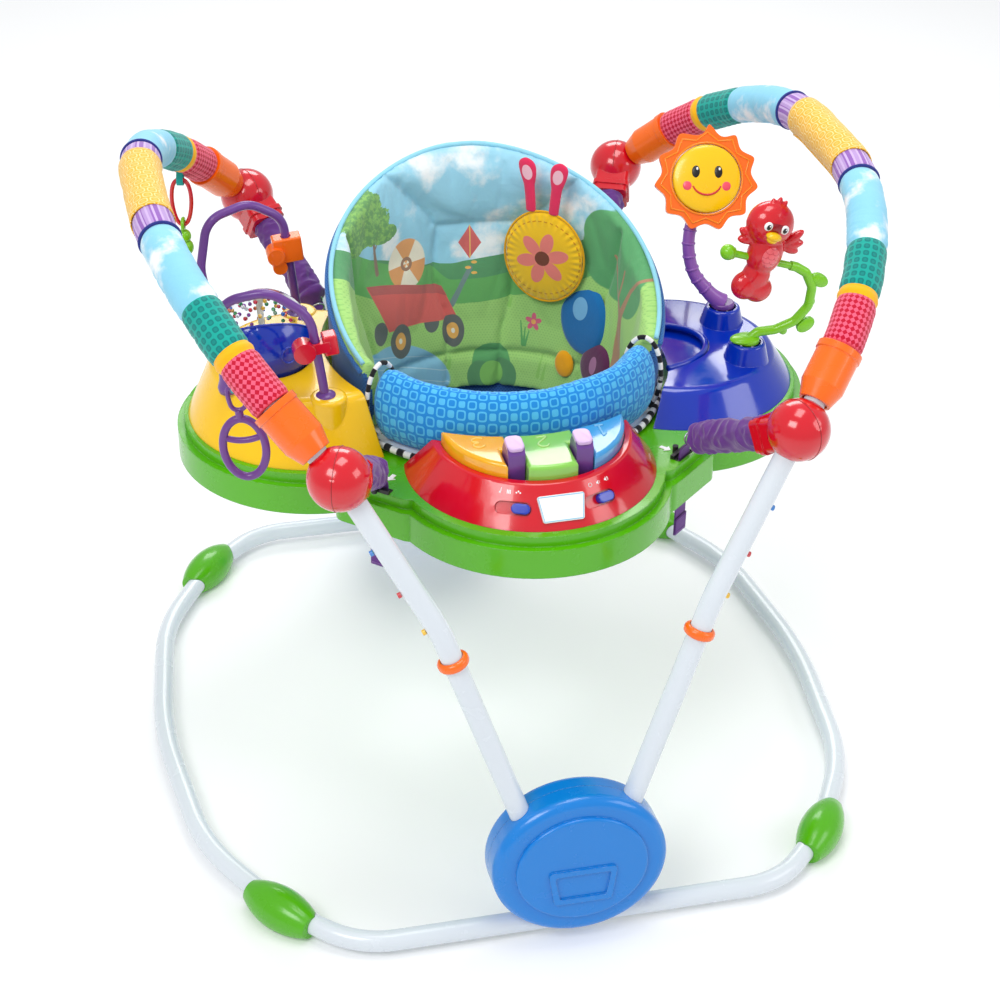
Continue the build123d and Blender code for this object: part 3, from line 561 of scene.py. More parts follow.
def plate(name, outline, thick, mat, body, at, crown=0.0, inset=0.0008):
    """Flat moulded shape: outline in its own XY plane, metres, with softened rims."""
    bm = bmesh.new()
    face = bm.faces.new([bm.verts.new((x, y, 0.0)) for x, y in outline])
    made = bmesh.ops.extrude_face_region(bm, geom=[face])
    top = [g for g in made["geom"] if isinstance(g, bmesh.types.BMVert)]
    bmesh.ops.translate(bm, verts=top, vec=(0, 0, thick))
    rim = [e for e in bm.edges if all(v in top for v in e.verts)]
    bmesh.ops.bevel(bm, geom=rim, offset=inset, segments=3, profile=0.6, affect="EDGES")
    bmesh.ops.recalc_face_normals(bm, faces=bm.faces)
    if crown:
        size = max(math.hypot(x, y) for x, y in outline)
        for v in bm.verts:
            if v.co.z > thick * 0.4:
                v.co.z += crown * max(0.0, 1 - (v.co.xy.length / size) ** 2)
    bm.transform(at)
    mesh = bpy.data.meshes.new(name)
    bm.to_mesh(mesh)
    bm.free()
    mesh.materials.append(mat)
    piece = linked(name, mesh)
    mesh.polygons.foreach_set("use_smooth", [False] * len(mesh.polygons))
    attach(piece, body)
    return piece


def circle(r, n, cx, cy):
    return [(cx + r * math.cos(TAU * i / n), cy + r * math.sin(TAU * i / n)) for i in range(n)]


def lathe(name, profile, mat, body, at, around=64):
    """Round piece from (radius, height) points, metres, in its own frame."""
    verts = [at @ Vector((r * math.cos(a), r * math.sin(a), z)) for r, z in profile
             for a in full_turn(around)]
    rows = len(profile)
    return mesh_piece(name, verts, quads(rows, around) + end_caps(rows, around), mat, body)


# ---------------------------------------------------------------- arches
BALL = np.array((0.258, 0.374, 0.613))
LEAN = math.radians(41.5)
CORNER = (0.2612, 0.2384)  # corner of the arch's control line, along Y and up its plane
BEND_R = 0.350
SLOPE = math.atan2(CORNER[1], BALL[1] - CORNER[0])
TANGENT = BEND_R * math.tan(SLOPE / 2)
STRAIGHT = math.hypot(BALL[1] - CORNER[0], CORNER[1]) - TANGENT
BEND_LENGTH = BEND_R * SLOPE
HALF_TOP = CORNER[0] - TANGENT
HALF_ARCH = STRAIGHT + BEND_LENGTH + HALF_TOP
BANDS = (("gold", 0.078), ("stripe", 0.115), ("sky", 0.235), ("teal", 0.300), ("thin", 0.312),
         ("check", 0.3715))
HANG = 0.1737  # distance of each hanging toy from its arch's end
TOY_SIDE = np.array((0.97, -0.243, 0.0)) / math.hypot(0.97, 0.243)


def arch_flat(m):
    """Point of an arch in its plane at a distance m from its middle, towards the front if negative."""
    s = HALF_ARCH - abs(m)
    if s < STRAIGHT:
        y, w = -BALL[1] + s * math.cos(SLOPE), s * math.sin(SLOPE)
    else:
        turn = min((s - STRAIGHT) / BEND_R, SLOPE)
        rest = max(0.0, s - STRAIGHT - BEND_LENGTH)
        left = SLOPE - turn
        y = -HALF_TOP - BEND_R * math.sin(left) + rest
        w = CORNER[1] - BEND_R + BEND_R * math.cos(left)
    return (y if m < 0 else -y), w


def arch_point(side, m):
    y, w = arch_flat(m)
    return np.array((side * (BALL[0] + w * math.sin(LEAN)), y, BALL[2] + w * math.cos(LEAN)))


def print_sky(t, x, y, scale=1.0):
    """Pale blue with soft white clouds."""
    where = t.join(x, y)
    cloud = t.noise(13.0 * scale, 5.0, 0.58, where)
    wisp = t.step(cloud, 0.50, 0.66)
    blue = t.mix(t.noise(5.0, 2.0, 0.5, where), srgb(120, 200, 232), srgb(158, 218, 240))
    return t.mix(wisp, blue, srgb(246, 250, 252))


def grid_cell(t, x, y, pitch_x, pitch_y, stagger=0.0):
    """Coordinates -0.5..0.5 within the cells of a print's repeat."""
    row = t.math("FLOOR", y / pitch_y)
    shift = t.math("MODULO", row, 2.0) * stagger
    gx = t.math("FRACT", x / pitch_x + shift + 50.0) - 0.5
    gy = t.math("FRACT", y / pitch_y + 50.0) - 0.5
    return gx, gy


def rounded_box(t, gx, gy, half, power=4.0):
    """Distance-like value of a rounded square: 1 at its rim, less inside."""
    a = (abs(gx / half)) ** power
    b = (abs(gy / half)) ** power
    return (a + b) ** (1 / power)


def band_material(kind):
    """Printed or plain cloth of one band of the arch covers."""
    t = Tree("fabric_" + kind)
    u, v = t.uv()
    if kind == "gold":
        gx, gy = grid_cell(t, u, v, 0.0132, 0.0125, 0.5)
        wave = (t.noise(60.0, 2.0) - 0.5) * 0.25
        box = rounded_box(t, gx + wave * 0.3, gy, 0.43, 3.4)
        outline = t.step(box, 1.04, 0.96) * t.step(box, 0.70, 0.78)
        base = t.mix(outline, srgb(242, 182, 44), srgb(252, 222, 148))
        base = t.mix(t.step(box, 0.44, 0.36) * 0.5, base, srgb(250, 208, 110))
    elif kind == "stripe":
        fine = t.step(t.fract(u / 0.0075 + 20.0), 0.62, 0.68)
        wide = t.step(t.fract(u / 0.0187 + 20.0), 0.5, 0.55)
        base = t.mix(t.math("MAXIMUM", fine, wide * 0.6), srgb(148, 98, 184), srgb(206, 178, 226))
    elif kind == "sky":
        base = print_sky(t, u, v, 1.25)
    elif kind == "teal":
        gx, gy = grid_cell(t, u, v, 0.0094, 0.0094)
        dot = t.step(rounded_box(t, gx, gy, 0.36, 3.0), 1.06, 0.94)
        inner = t.step(rounded_box(t, gx, gy, 0.20, 3.0), 1.1, 0.9)
        base = t.mix(dot, srgb(14, 166, 152), srgb(4, 122, 118))
        base = t.mix(inner * 0.35, base, srgb(10, 160, 150))
    elif kind == "thin":
        base = t.mix(t.noise(60.0), srgb(252, 180, 6), srgb(255, 192, 24))
    else:
        where = t.join((u + v) / 0.0064 + 100.0, (u - v) / 0.0064 + 100.0, 0.5)
        base = t.made("ShaderNodeTexChecker", "Color", {"Vector": where, "Color1": srgb(198, 10, 50),
                                                        "Color2": srgb(240, 98, 128), "Scale": 1.0})
    return cloth_finish(t, base, u, v, 0.0009)


BAND_MATS = {kind: band_material(kind) for kind, _ in BANDS}
NAVY = plain_cloth("fabric_navy", srgb(44, 52, 132))
TEAL_PLAIN = plain_cloth("fabric_teal", srgb(30, 170, 165))


def arch_grid(side, m0, m1, count, around, girth):
    """Path of an arch between two distances, the spokes round it, and coordinates for its folds."""
    ms = np.linspace(m0, m1, count)
    path = np.array([arch_point(side, m) for m in ms])
    _, across, up = frames_along(path)
    angle, ring = spokes(across, up, around)
    flat = np.stack([np.repeat(ms[:, None], around, 1), ring[:, :, 0] * girth, ring[:, :, 2] * girth], 2)
    return ms, path[:, None, :], angle, ring, flat


def arch_cover(side, name, seed):
    """The padded cover: sewn bands that puff between their seams and crease over the bend."""
    end = BANDS[-1][1]
    step, around = ((0.0016, 84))
    count = int(2 * end / step)
    ms, path, _, ring, flat = arch_grid(side, -end, end, count, around, 0.023)
    seams = [b for _, b in BANDS[1:]]
    dist = np.array([min(abs(abs(m) - s) for s in seams) for m in ms])
    pinch = np.exp(-(dist / 0.0035) ** 2)[:, None]
    folds = grid_wobble(flat, (150.0, 55.0, 55.0), seed)
    broad = grid_wobble(flat, (38.0, 30.0, 30.0), seed + 5)
    bend = np.clip((0.36 - np.abs(np.abs(ms) - 0.23)) / 0.36, 0.2, 1.0)[:, None]
    under = np.clip(-ring[:, :, 2], 0, 1)
    inner = np.clip(0.25 + under, 0.25, 1.0)
    crease = -np.abs(folds) * 0.0030 * inner * bend * (1 - 0.7 * pinch)
    radius = 0.0226 + (1 - pinch) * 0.0012 - pinch * 0.0006 + crease + broad * 0.0012 + under * 0.0008
    kinds = []
    for m in np.abs(ms[:-1] + ms[1:]) / 2:
        kinds += [next(n for n, (_, b) in enumerate(BANDS) if m <= b + 1e-9)] * around
    kinds += [len(BANDS) - 1] * 2
    piece = mesh_piece("arch_fabric_" + name, (path + ring * radius[:, :, None]).reshape(-1, 3),
                       quads(count, around) + end_caps(count, around), list(BAND_MATS.values()), "frame",
                       face_mats=kinds)
    corner = read_all(piece.data.loops, "vertex_index", 1, np.int32)
    row, col = corner // around, corner % around
    quad = col[:4 * (count - 1) * around].reshape(-1, 4)
    crosses = (quad == around - 1).any(1) & (quad == 0).any(1)
    quad[crosses[:, None] & (quad == 0)] = around
    uv = np.stack([col * TAU / around * 0.0233, ms[row]], 1)
    layer = piece.data.uv_layers.new(name="UVMap")
    layer.data.foreach_set("uv", uv.astype(np.float32).ravel())
    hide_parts("arch_cover_" + name)


def gold_wrap(side, name):
    """A loose band wrapped over the middle of the cover."""
    count, around = ((40, 84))
    ms, path, angle, ring, flat = arch_grid(side, -0.079, 0.079, count, around, 0.024)
    soft = grid_wobble(flat, (50.0, 60.0, 60.0), 3 + side)
    flare = 0.0009 * np.abs(np.linspace(-1, 1, count)) ** 6
    radius = (0.0247 + soft * 0.0011 + flare[:, None])[:, :, None]
    verts = np.concatenate([(path + ring * r).reshape(-1, 3) for r in (radius, radius - 0.0014)])
    n = count * around
    faces = quads(count, around) + [f[::-1] for f in quads(count, around, n)]
    for first, flip in ((0, False), (n - around, True)):
        for j in range(around):
            a, b = first + j, first + (j + 1) % around
            f = (a, n + a, n + b, b)
            faces.append(f[::-1] if flip else f)
    uv = grid_uv(angle * 0.0243, ms)
    piece = mesh_piece("gold_wrap_" + name, verts, faces, BAND_MATS["gold"], "frame",
                       np.concatenate([uv, uv]))


def arch_trim(side, name):
    """Gold wrap with its overlap edge, navy piping, and the teal toy loops under the cover."""
    gold_wrap(side, name)
    below = np.array((-side * 0.55, 0, -0.83)) * 0.0262
    hem = [arch_point(side, m) + below for m in np.linspace(-0.078, 0.078, 24)]
    tube_piece("gold_hem_" + name, hem, 0.0013, BAND_MATS["gold"], "frame", 10)
    front = np.cross(TOY_SIDE, (0, 0, 1.0))
    half = [(0.0066, 0.0), (0.0058, 0.005), (0.0025, 0.011), (0.0017, 0.018)]
    line = [(-a, b) for a, b in half[::-1]] + [(-0.0045, -0.0050), (0.0, -0.0068), (0.0045, -0.0050)] + half
    for sign, end in ((-1, "front"), (1, "rear")):
        m = sign * 0.1150
        p0, p1 = arch_point(side, m - 0.002), arch_point(side, m + 0.002)
        at = basis((p0 + p1) / 2, p1 - p0, (0, 0.3, 1))
        loop_piece("piping_%s_%s" % (name, end), ring_line(at, 0.0234, 72), 0.0019, NAVY, "frame", 10)
        hang = arch_point(side, sign * (HALF_ARCH - HANG)) - np.array((0, 0, 0.037))
        pts = smooth_path([hang + front * a + np.array((0, 0, b)) for a, b in line], 5)
        ribbon(pts, TOY_SIDE, 0.0085, 0.0009, "toy_loop_%s_%s" % (name, end), TEAL_PLAIN, "frame")


def ribbon(path, across, width, thick, name, mat, body):
    """Flat strap along a path, with its width along across."""
    path = np.array(path, float)
    out = unit(np.cross(unit(np.gradient(path, axis=0)), across))
    section = [(-0.5, -0.35), (-0.42, -0.5), (0.42, -0.5), (0.5, -0.35), (0.5, 0.35), (0.42, 0.5),
               (-0.42, 0.5), (-0.5, 0.35)]
    verts, uv = [], []
    for p, o, r in zip(path, out, run_along(path)):
        for x, y in section:
            verts.append(p + np.array(across) * x * width + o * y * thick)
            uv.append((x * width + (thick if y > 0 else 0), r))
    rows, k = len(path), len(section)
    return mesh_piece(name, verts, quads(rows, k) + end_caps(rows, k), mat, body, uv)


for arch_side, arch_name in ((-1, "left"), (1, "right")):
    arch_cover(arch_side, arch_name, 7.0 + arch_side)
    arch_trim(arch_side, arch_name)


# ---------------------------------------------------------------- seat
ARC_PER_DEGREE = 0.0031416          # metres along the seat back, at 180 mm from its axis


def arc_x(theta):
    """Distance along the seat back, to the right from its middle, for an angle from +X."""
    return (90.0 - theta) * ARC_PER_DEGREE


def seat_top(theta):
    """Height of the seat back's rim."""
    y = 0.205 * math.sin(math.radians(theta))
    lift = 0.006 * math.exp(-((theta - 92) / 26) ** 2)
    return min(0.667 + (y - 0.060) * 0.4833 - 0.003 + lift, 0.7395)


IN_R = ((0.405, 0.148), (0.470, 0.160), (0.520, 0.1705), (0.600, 0.1855), (0.745, 0.1905))
OUT_R = ((0.500, 0.2015), (0.600, 0.2050), (0.748, 0.2090))


def look_up(table, z):
    return float(np.interp(z, [t[0] for t in table], [t[1] for t in table]))


def seat_section(theta):
    """Closed (radius, height) outline of the seat back at one angle."""
    h = seat_top(theta)
    pts = [(look_up(IN_R, z), z) for z in np.linspace(0.409, h - 0.012, 44)]
    mid = (look_up(IN_R, h) + look_up(OUT_R, h)) / 2
    half = (look_up(OUT_R, h) - look_up(IN_R, h)) / 2
    pts += [(mid - half * math.cos(a), h - 0.010 + 0.010 * math.sin(a))
            for a in np.linspace(0.35, math.pi - 0.35, 7)]
    pts += [(look_up(OUT_R, z), z) for z in np.linspace(h - 0.012, 0.507, 34)]
    return pts + [(0.1990, 0.5035), (0.1730, 0.5035), (0.1712, 0.470), (0.1590, 0.409)]


SEAT_SEAMS = [  # (angle, height) runs of the sewn lines on the inner face
    ((124, 0.722), (106, 0.655), (99, 0.632), (69, 0.633), (60, 0.652), (44, 0.708)),
    ((152, 0.672), (151, 0.640), (147, 0.570), (142, 0.480), (140, 0.412)),
    ((22, 0.655), (24, 0.600), (30, 0.500), (34, 0.412)),
    ((101, 0.632), (103, 0.560), (99, 0.500), (101, 0.412)),
    ((69, 0.632), (70, 0.545), (74, 0.480), (75, 0.412)),
    ((200, 0.470), (150, 0.462), (90, 0.458), (30, 0.462), (-20, 0.470)),
]


def seam_distance(theta, z, inner):
    """Distance of each point from the nearest seam, in metres."""
    best = np.full(len(theta), 1.0)
    x = arc_x(theta)
    for run in SEAT_SEAMS:
        line = smooth_path([(arc_x(a), h, 0) for a, h in run], 10)[:, :2]
        for p, q in zip(line[:-1], line[1:]):
            d = q - p
            t = np.clip(((x - p[0]) * d[0] + (z - p[1]) * d[1]) / np.dot(d, d), 0, 1)
            best = np.minimum(best, np.hypot(x - p[0] - t * d[0], z - p[1] - t * d[1]))
    best[~inner] = 1.0
    return best


def polar(co):
    theta = np.degrees(np.arctan2(co[:, 1], co[:, 0]))
    theta = np.where(theta < -90, theta + 360, theta)
    return theta, np.hypot(co[:, 0], co[:, 1])


def inflate(piece, pinned, pressure, cap, frames=20):
    """Puffs a closed mesh with a short cloth simulation; pinned is a 0..1 weight per vertex."""
    before = coords(piece)
    scene = bpy.context.scene
    group = piece.vertex_groups.new(name="held")
    for weight in (0.25, 0.5, 0.75, 1.0):
        picked = np.where((pinned > weight - 0.25) & (pinned <= weight))[0]
        if len(picked):
            group.add([int(i) for i in picked], weight, "REPLACE")
    mod = piece.modifiers.new("Cloth", "CLOTH")
    settings = {"quality": 5, "mass": 0.25, "tension_stiffness": 18, "compression_stiffness": 12,
                "shear_stiffness": 8, "bending_stiffness": 0.4, "use_pressure": True,
                "uniform_pressure_force": pressure, "vertex_group_mass": "held"}
    for key, value in settings.items():
        setattr(mod.settings, key, value)
    mod.settings.effector_weights.gravity = 0.0
    mod.collision_settings.use_collision = False
    mod.point_cache.frame_start = 1
    mod.point_cache.frame_end = frames
    scene.frame_start = 1
    scene.frame_end = frames
    for f in range(1, frames + 1):
        scene.frame_set(f)
    puffed = piece.evaluated_get(bpy.context.evaluated_depsgraph_get())
    after = read_all(puffed.to_mesh().vertices, "co", 3).astype(float)
    puffed.to_mesh_clear()
    piece.modifiers.clear()
    move = after - before
    size = np.linalg.norm(move, axis=1)
    limit = cap * np.tanh(size / cap) / np.maximum(size, 1e-9)
    set_coords(piece, before + move * limit[:, None])
    scene.frame_set(1)
    piece.vertex_groups.clear()


class Print:
    """A flat picture, painted shape by shape over a first colour."""

    def __init__(self, t, x, z, colour):
        self.t = t
        self.x = x
        self.z = z
        self.colour = colour

    def paint(self, mask, colour):
        self.colour = self.t.mix(mask, self.colour, colour)

    def oval(self, cx, cz, rx, rz, colour, turn=0.0):
        self.paint(self.t.ellipse(self.x, self.z, cx, cz, rx, rz, turn), colour)

    def stroke(self, x0, z0, x1, z1, w0, w1, colour):
        self.paint(self.t.stroke(self.x, self.z, (x0, z0), (x1, z1), w0, w1), colour)

    def shape(self, corners, colour):
        self.paint(self.t.polygon(self.x, self.z, corners), colour)


def print_fields(t, p):
    """Far hill, left field and dotted meadow."""
    xx = p.x * p.x
    p.paint(t.above(xx * 1.8 + 0.583 + t.math("SINE", p.x * 42.0) * 0.003 - p.z), srgb(14, 140, 62))
    field = t.above(xx * 2.0 + 0.578 - t.step(p.x, -0.05, -0.02) * 0.019 - p.z)
    p.paint(field * t.step(p.x, -0.197, -0.192), srgb(62, 170, 44))
    gx, gz = grid_cell(t, p.x, p.z, 0.0046, 0.0034, 0.5)
    dots = t.step(rounded_box(t, gx, gz, 0.26, 2.0), 1.1, 0.8)
    grass = t.mix(dots * 0.55, srgb(158, 214, 92), srgb(104, 184, 52))
    p.paint(t.above(xx * 1.9 + 0.526 - p.z, 0.0004), grass)


def print_trees(t, p):
    bark, trunk, crown = srgb(130, 92, 66), srgb(172, 108, 60), srgb(8, 150, 62)
    p.stroke(-0.139, 0.600, -0.143, 0.648, 0.007, 0.004, bark)
    p.stroke(-0.143, 0.630, -0.128, 0.650, 0.003, 0.002, bark)
    ragged = (t.noise(70.0, 4.0, 0.7) - 0.5) * 1.1
    mask = None
    for cx, cz, rx, rz in ((-0.154, 0.668, 0.044, 0.026), (-0.150, 0.690, 0.030, 0.022),
                           (-0.176, 0.655, 0.030, 0.016), (-0.122, 0.648, 0.024, 0.012)):
        dx, dz = (p.x - cx) / rx, (p.z - cz) / rz
        one = t.step(dx * dx + dz * dz + ragged, 1.03, 0.97)
        mask = one if mask is None else t.math("MAXIMUM", mask, one)
    leaves = t.step(t.noise(150.0, 3.0, 0.7), 0.42, 0.6)
    p.paint(mask, t.mix(leaves, srgb(58, 140, 34), srgb(118, 184, 52)))
    for cx, cz, rx, rz in ((0.222, 0.625, 0.062, 0.055), (0.190, 0.648, 0.030, 0.030),
                           (0.262, 0.600, 0.036, 0.036)):
        p.oval(cx, cz, rx, rz, crown)
    for x0, z0, x1, z1, w0, w1 in (
            (0.258, 0.470, 0.250, 0.560, 0.024, 0.017), (0.250, 0.558, 0.226, 0.592, 0.012, 0.005),
            (0.226, 0.592, 0.208, 0.622, 0.005, 0.003), (0.251, 0.556, 0.266, 0.600, 0.013, 0.006),
            (0.266, 0.600, 0.290, 0.628, 0.006, 0.004), (0.238, 0.580, 0.244, 0.618, 0.004, 0.003)):
        p.stroke(x0, z0, x1, z1, w0, w1, trunk)


def print_pond_and_bush(t, p):
    ripples = t.step(abs(t.fract(p.z * 62.0 + p.x * 18.0) - 0.5), 0.06, 0.02)
    p.oval(-0.105, 0.452, 0.082, 0.036, t.mix(ripples * 0.6, srgb(120, 192, 228), srgb(206, 232, 246)), -0.42)
    p.oval(-0.140, 0.462, 0.016, 0.008, srgb(30, 150, 60), -0.4)
    p.oval(0.036, 0.440, 0.030, 0.030, srgb(20, 150, 50))
    p.oval(0.018, 0.425, 0.020, 0.022, srgb(14, 130, 48))
    p.oval(0.054, 0.425, 0.022, 0.024, srgb(14, 130, 48))
    p.oval(0.036, 0.428, 0.018, 0.018, srgb(110, 190, 40))


def print_flower(p):
    for dx, tip in ((-0.006, 0.502), (0.001, 0.494), (0.007, 0.490)):
        p.stroke(0.084 + dx * 0.3, 0.470, 0.084 + dx, tip, 0.004, 0.0015, srgb(40, 160, 46))
    for k in range(5):
        a = TAU * k / 5 + 0.3
        p.oval(0.0967 + 0.0068 * math.cos(a), 0.503 + 0.0068 * math.sin(a), 0.0056, 0.0034,
               srgb(226, 36, 106), a)
    p.oval(0.0967, 0.503, 0.0034, 0.0034, srgb(250, 170, 40))


def print_wagon(t, p):
    """A red wagon with a beach ball in it."""
    p.stroke(-0.0200, 0.526, 0.0070, 0.574, 0.008, 0.006, srgb(88, 124, 122))
    cx, cz = -0.086, 0.596
    part = t.fract(t.math("ARCTAN2", p.z - cz, p.x - cx) * (3 / TAU) + 5.0)
    p.oval(cx, cz, 0.031, 0.034, t.mix(t.step(part, 0.49, 0.51), srgb(250, 238, 214), srgb(236, 150, 60)))
    p.paint(t.ring(p.x, p.z, cx, cz, 0.007, 0.005), srgb(150, 90, 50))
    p.oval(-0.147, 0.520, 0.0128, 0.016, srgb(52, 62, 66))
    p.oval(-0.052, 0.508, 0.0120, 0.015, srgb(52, 62, 66))
    p.shape([(-0.1316, 0.517), (-0.0110, 0.503), (-0.0330, 0.552), (-0.1650, 0.592)], srgb(228, 44, 40))
    p.shape([(-0.1560, 0.577), (-0.0260, 0.538), (-0.0330, 0.552), (-0.1650, 0.592)], srgb(190, 28, 34))
    for wx, wz, rx, rz in ((-0.1096, 0.497, 0.0200, 0.0235), (-0.0200, 0.490, 0.0165, 0.0220)):
        for k, colour in ((1, srgb(50, 54, 58)), (0.5, srgb(242, 168, 24)), (0.16, srgb(250, 240, 220))):
            p.oval(wx, wz, rx * k, rz * k, colour)


def print_kite_and_tufts(p):
    p.shape([(0.006, 0.586), (0.022, 0.606), (0.008, 0.628), (-0.008, 0.608)], srgb(212, 40, 46))
    p.stroke(0.0070, 0.587, 0.0080, 0.627, 0.0012, 0.0012, srgb(250, 200, 60))
    for k in range(3):
        p.oval(0.008 + 0.004 * (-1) ** k, 0.581 - 0.007 * k, 0.004, 0.002, srgb(250, 180, 40))
    for x0, z0, h in ((0.110, 0.430, 0.030), (0.118, 0.428, 0.024), (0.060, 0.520, 0.012),
                      (-0.030, 0.440, 0.014)):
        p.stroke(x0, z0, x0 + 0.004, z0 + h, 0.006, 0.001, srgb(130, 200, 50))


def seat_print():
    """Landscape print of the seat back: sky, hills, trees, pond, bush, flower, wagon and kite."""
    t = Tree("seat_landscape")
    x, z = t.uv()
    p = Print(t, x, z, print_sky(t, x, z, 1.0))
    print_fields(t, p)
    print_trees(t, p)
    print_pond_and_bush(t, p)
    print_flower(p)
    print_wagon(t, p)
    print_kite_and_tufts(p)
    p.paint(0.14, srgb(236, 248, 236))
    return cloth_finish(t, p.colour, x, z, 0.0010, depth=0.00022, folds=0.0016)


def net_cloth(name, dark, light, pitch=0.0034):
    """Open knitted mesh over a plain cloth."""
    t = Tree(name)
    u, v = t.uv()
    gx, gy = grid_cell(t, u, v, pitch, pitch * 0.8, 0.5)
    hole = t.step(rounded_box(t, gx, gy, 0.30, 2.0), 1.15, 0.8)
    base = t.mix(hole * 0.8, light, dark)
    base = t.mix(t.noise(40.0, 4.0, 0.6) * 0.5, base, shade(light, 0.8))
    return cloth_finish(t, base, u, v, 0.0009)


def bumper_print():
    """Blue print: outlined and small filled rounded squares in a chequer."""
    t = Tree("bumper_print")
    u, v = t.uv()
    pitch = 0.0122
    col = t.mix(t.noise(20.0, 3.0), srgb(22, 134, 218), srgb(34, 146, 228))
    light = srgb(84, 192, 244)
    gx, gy = grid_cell(t, u, v, pitch, pitch)
    row = t.math("FLOOR", v / pitch) + t.math("FLOOR", u / pitch)
    odd = t.step(abs(t.math("MODULO", row, 2.0)), 0.4, 0.6)
    box = rounded_box(t, gx, gy, 0.46, 4.0)
    outline = t.step(box, 1.02, 0.97) * t.step(box, 0.64, 0.69) * odd
    filled = t.step(box, 0.74, 0.68) * (1.0 - odd)
    col = t.mix(t.math("MAXIMUM", outline, filled), col, light)
    return cloth_finish(t, col, u, v, 0.0010, depth=0.00020, folds=0.0014)


def stripe_piping(name):
    t = Tree(name)
    u, v = t.uv()
    s = t.math("FRACT", v / 0.019)
    base = t.mix(t.step(s, 0.0, 0.02) * t.step(s, 0.52, 0.50), srgb(240, 240, 238), srgb(24, 24, 28))
    return cloth_finish(t, base, u, v, 0.0008)


SEAT_PRINT = seat_print()
DENIM = net_cloth("seat_side_mesh", srgb(24, 58, 120), srgb(62, 118, 186))
SLING = net_cloth("sling_mesh", srgb(16, 40, 90), srgb(46, 92, 158), 0.004)
RIM_CLOTH = plain_cloth("seat_rim_binding", srgb(150, 216, 236))
BUMPER_PRINT = bumper_print()
PIPING = stripe_piping("striped_piping")


def inner_face(co, slack):
    """Angle and radius of each point, whether it is on the inner face, and its distance from the seams."""
    theta, r = polar(co)
    middle = np.array([(look_up(IN_R, z) + look_up(OUT_R, max(z, 0.5))) / 2 for z in co[:, 2]])
    inner = r < middle + slack
    return theta, r, inner, seam_distance(theta, co[:, 2], inner)


def swept(sections, thetas):
    """Vertices and faces of one closed outline swept round the row frame's Z axis."""
    verts = [from_axis(r, a, z) for a, sec in zip(thetas, sections) for r, z in sec]
    rows, k = len(thetas), len(sections[0])
    return verts, inside_out(quads(rows, k)) + [f[::-1] for f in end_caps(rows, k)]


def seat_back():
    thetas = np.arange(-27.0, 207.5, 1.5)
    verts, faces = swept([seat_section(a) for a in thetas], thetas)
    piece = mesh_piece("seat_back_pad", verts, faces, SEAT_PRINT, None)
    modify(piece, "REMESH", mode="VOXEL", voxel_size=0.0048)
    co = coords(piece)
    theta, r, inner, near = inner_face(co, -0.003)
    dent = np.exp(-(near / 0.0052) ** 2) * 0.0050
    broad = wobble(co * (1.0, 1.0, 0.7), 17.0, 2.0) * 0.0022
    co[:, :2] *= ((r + dent + np.where(inner, broad, 0.0)) / r)[:, None]
    set_coords(piece, co)
    held = np.maximum(np.clip(1.2 - near / 0.006, 0, 1), (co[:, 2] < 0.503).astype(float))
    inflate(piece, held, 3.2, 0.0075)
    modify(piece, "SUBSURF", levels=1)
    co = coords(piece)
    theta, r, inner, near = inner_face(co, 0.004)
    groove = np.exp(-(near / 0.0017) ** 2) * 0.0014
    pull = wobble(np.stack([(90 - theta) * 0.2826, co[:, 2] * 30, r], 1), 1.0, 4.0)
    tug = np.exp(-(near / 0.016) ** 2) * np.abs(pull) * 0.0016
    hem = np.exp(-((co[:, 2] - np.array([seat_top(a) for a in theta])) / 0.02) ** 2)
    ruffle = wobble(np.stack([theta * 0.55, co[:, 2] * 12, r * 0], 1), 1.0, 9.0) * 0.0016 * hem
    co[:, :2] *= ((r + groove + np.where(inner, tug, 0) + ruffle) / r)[:, None]
    co[:, 2] = np.where(co[:, 2] > 0.5, co[:, 2], np.maximum(co[:, 2], 0.407))
    set_coords(piece, co)
    set_uv(piece, np.stack([arc_x(polar(co)[0]), co[:, 2]], 1))
    piece.data.materials.append(DENIM)
    normal = read_all(piece.data.polygons, "normal", 3)
    centre = read_all(piece.data.polygons, "center", 3)
    out = (normal[:, :2] * centre[:, :2]).sum(1) / np.linalg.norm(centre[:, :2], axis=1)
    tops = np.array([seat_top(a) for a in polar(centre)[0]])
    side = ((out > 0.15) & (centre[:, 2] < tops - 0.012)) | ((centre[:, 2] < 0.5) & (out > 0.1))
    piece.data.polygons.foreach_set("material_index", side.astype(np.int32))
    smooth_all(piece)
    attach(piece, "seat")
    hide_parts("seat_pad")
    seat_edge()


def seat_edge():
    """Binding on the rim, and a denim roll over the print's edge below it."""
    for name, first, last, drop, look, shift, wire, mat, around in (
            ("binding", -26.0, 206.5, 0.0034, 0.0006, -0.0045, 0.0030, RIM_CLOTH, 12),
            ("roll", -25.5, 206.0, 0.0128, -0.0128, 0.0004, 0.0034, DENIM, 14)):
        line = []
        for a in np.arange(first, last, 1.5):
            h = seat_top(a)
            line.append(from_axis(look_up(OUT_R, h + look) + shift, a, h - drop))
        tube_piece("seat_rim_" + name, line, wire, mat, "seat", around)


BUMPER_R, BUMPER_Z = 0.1880, 0.5455


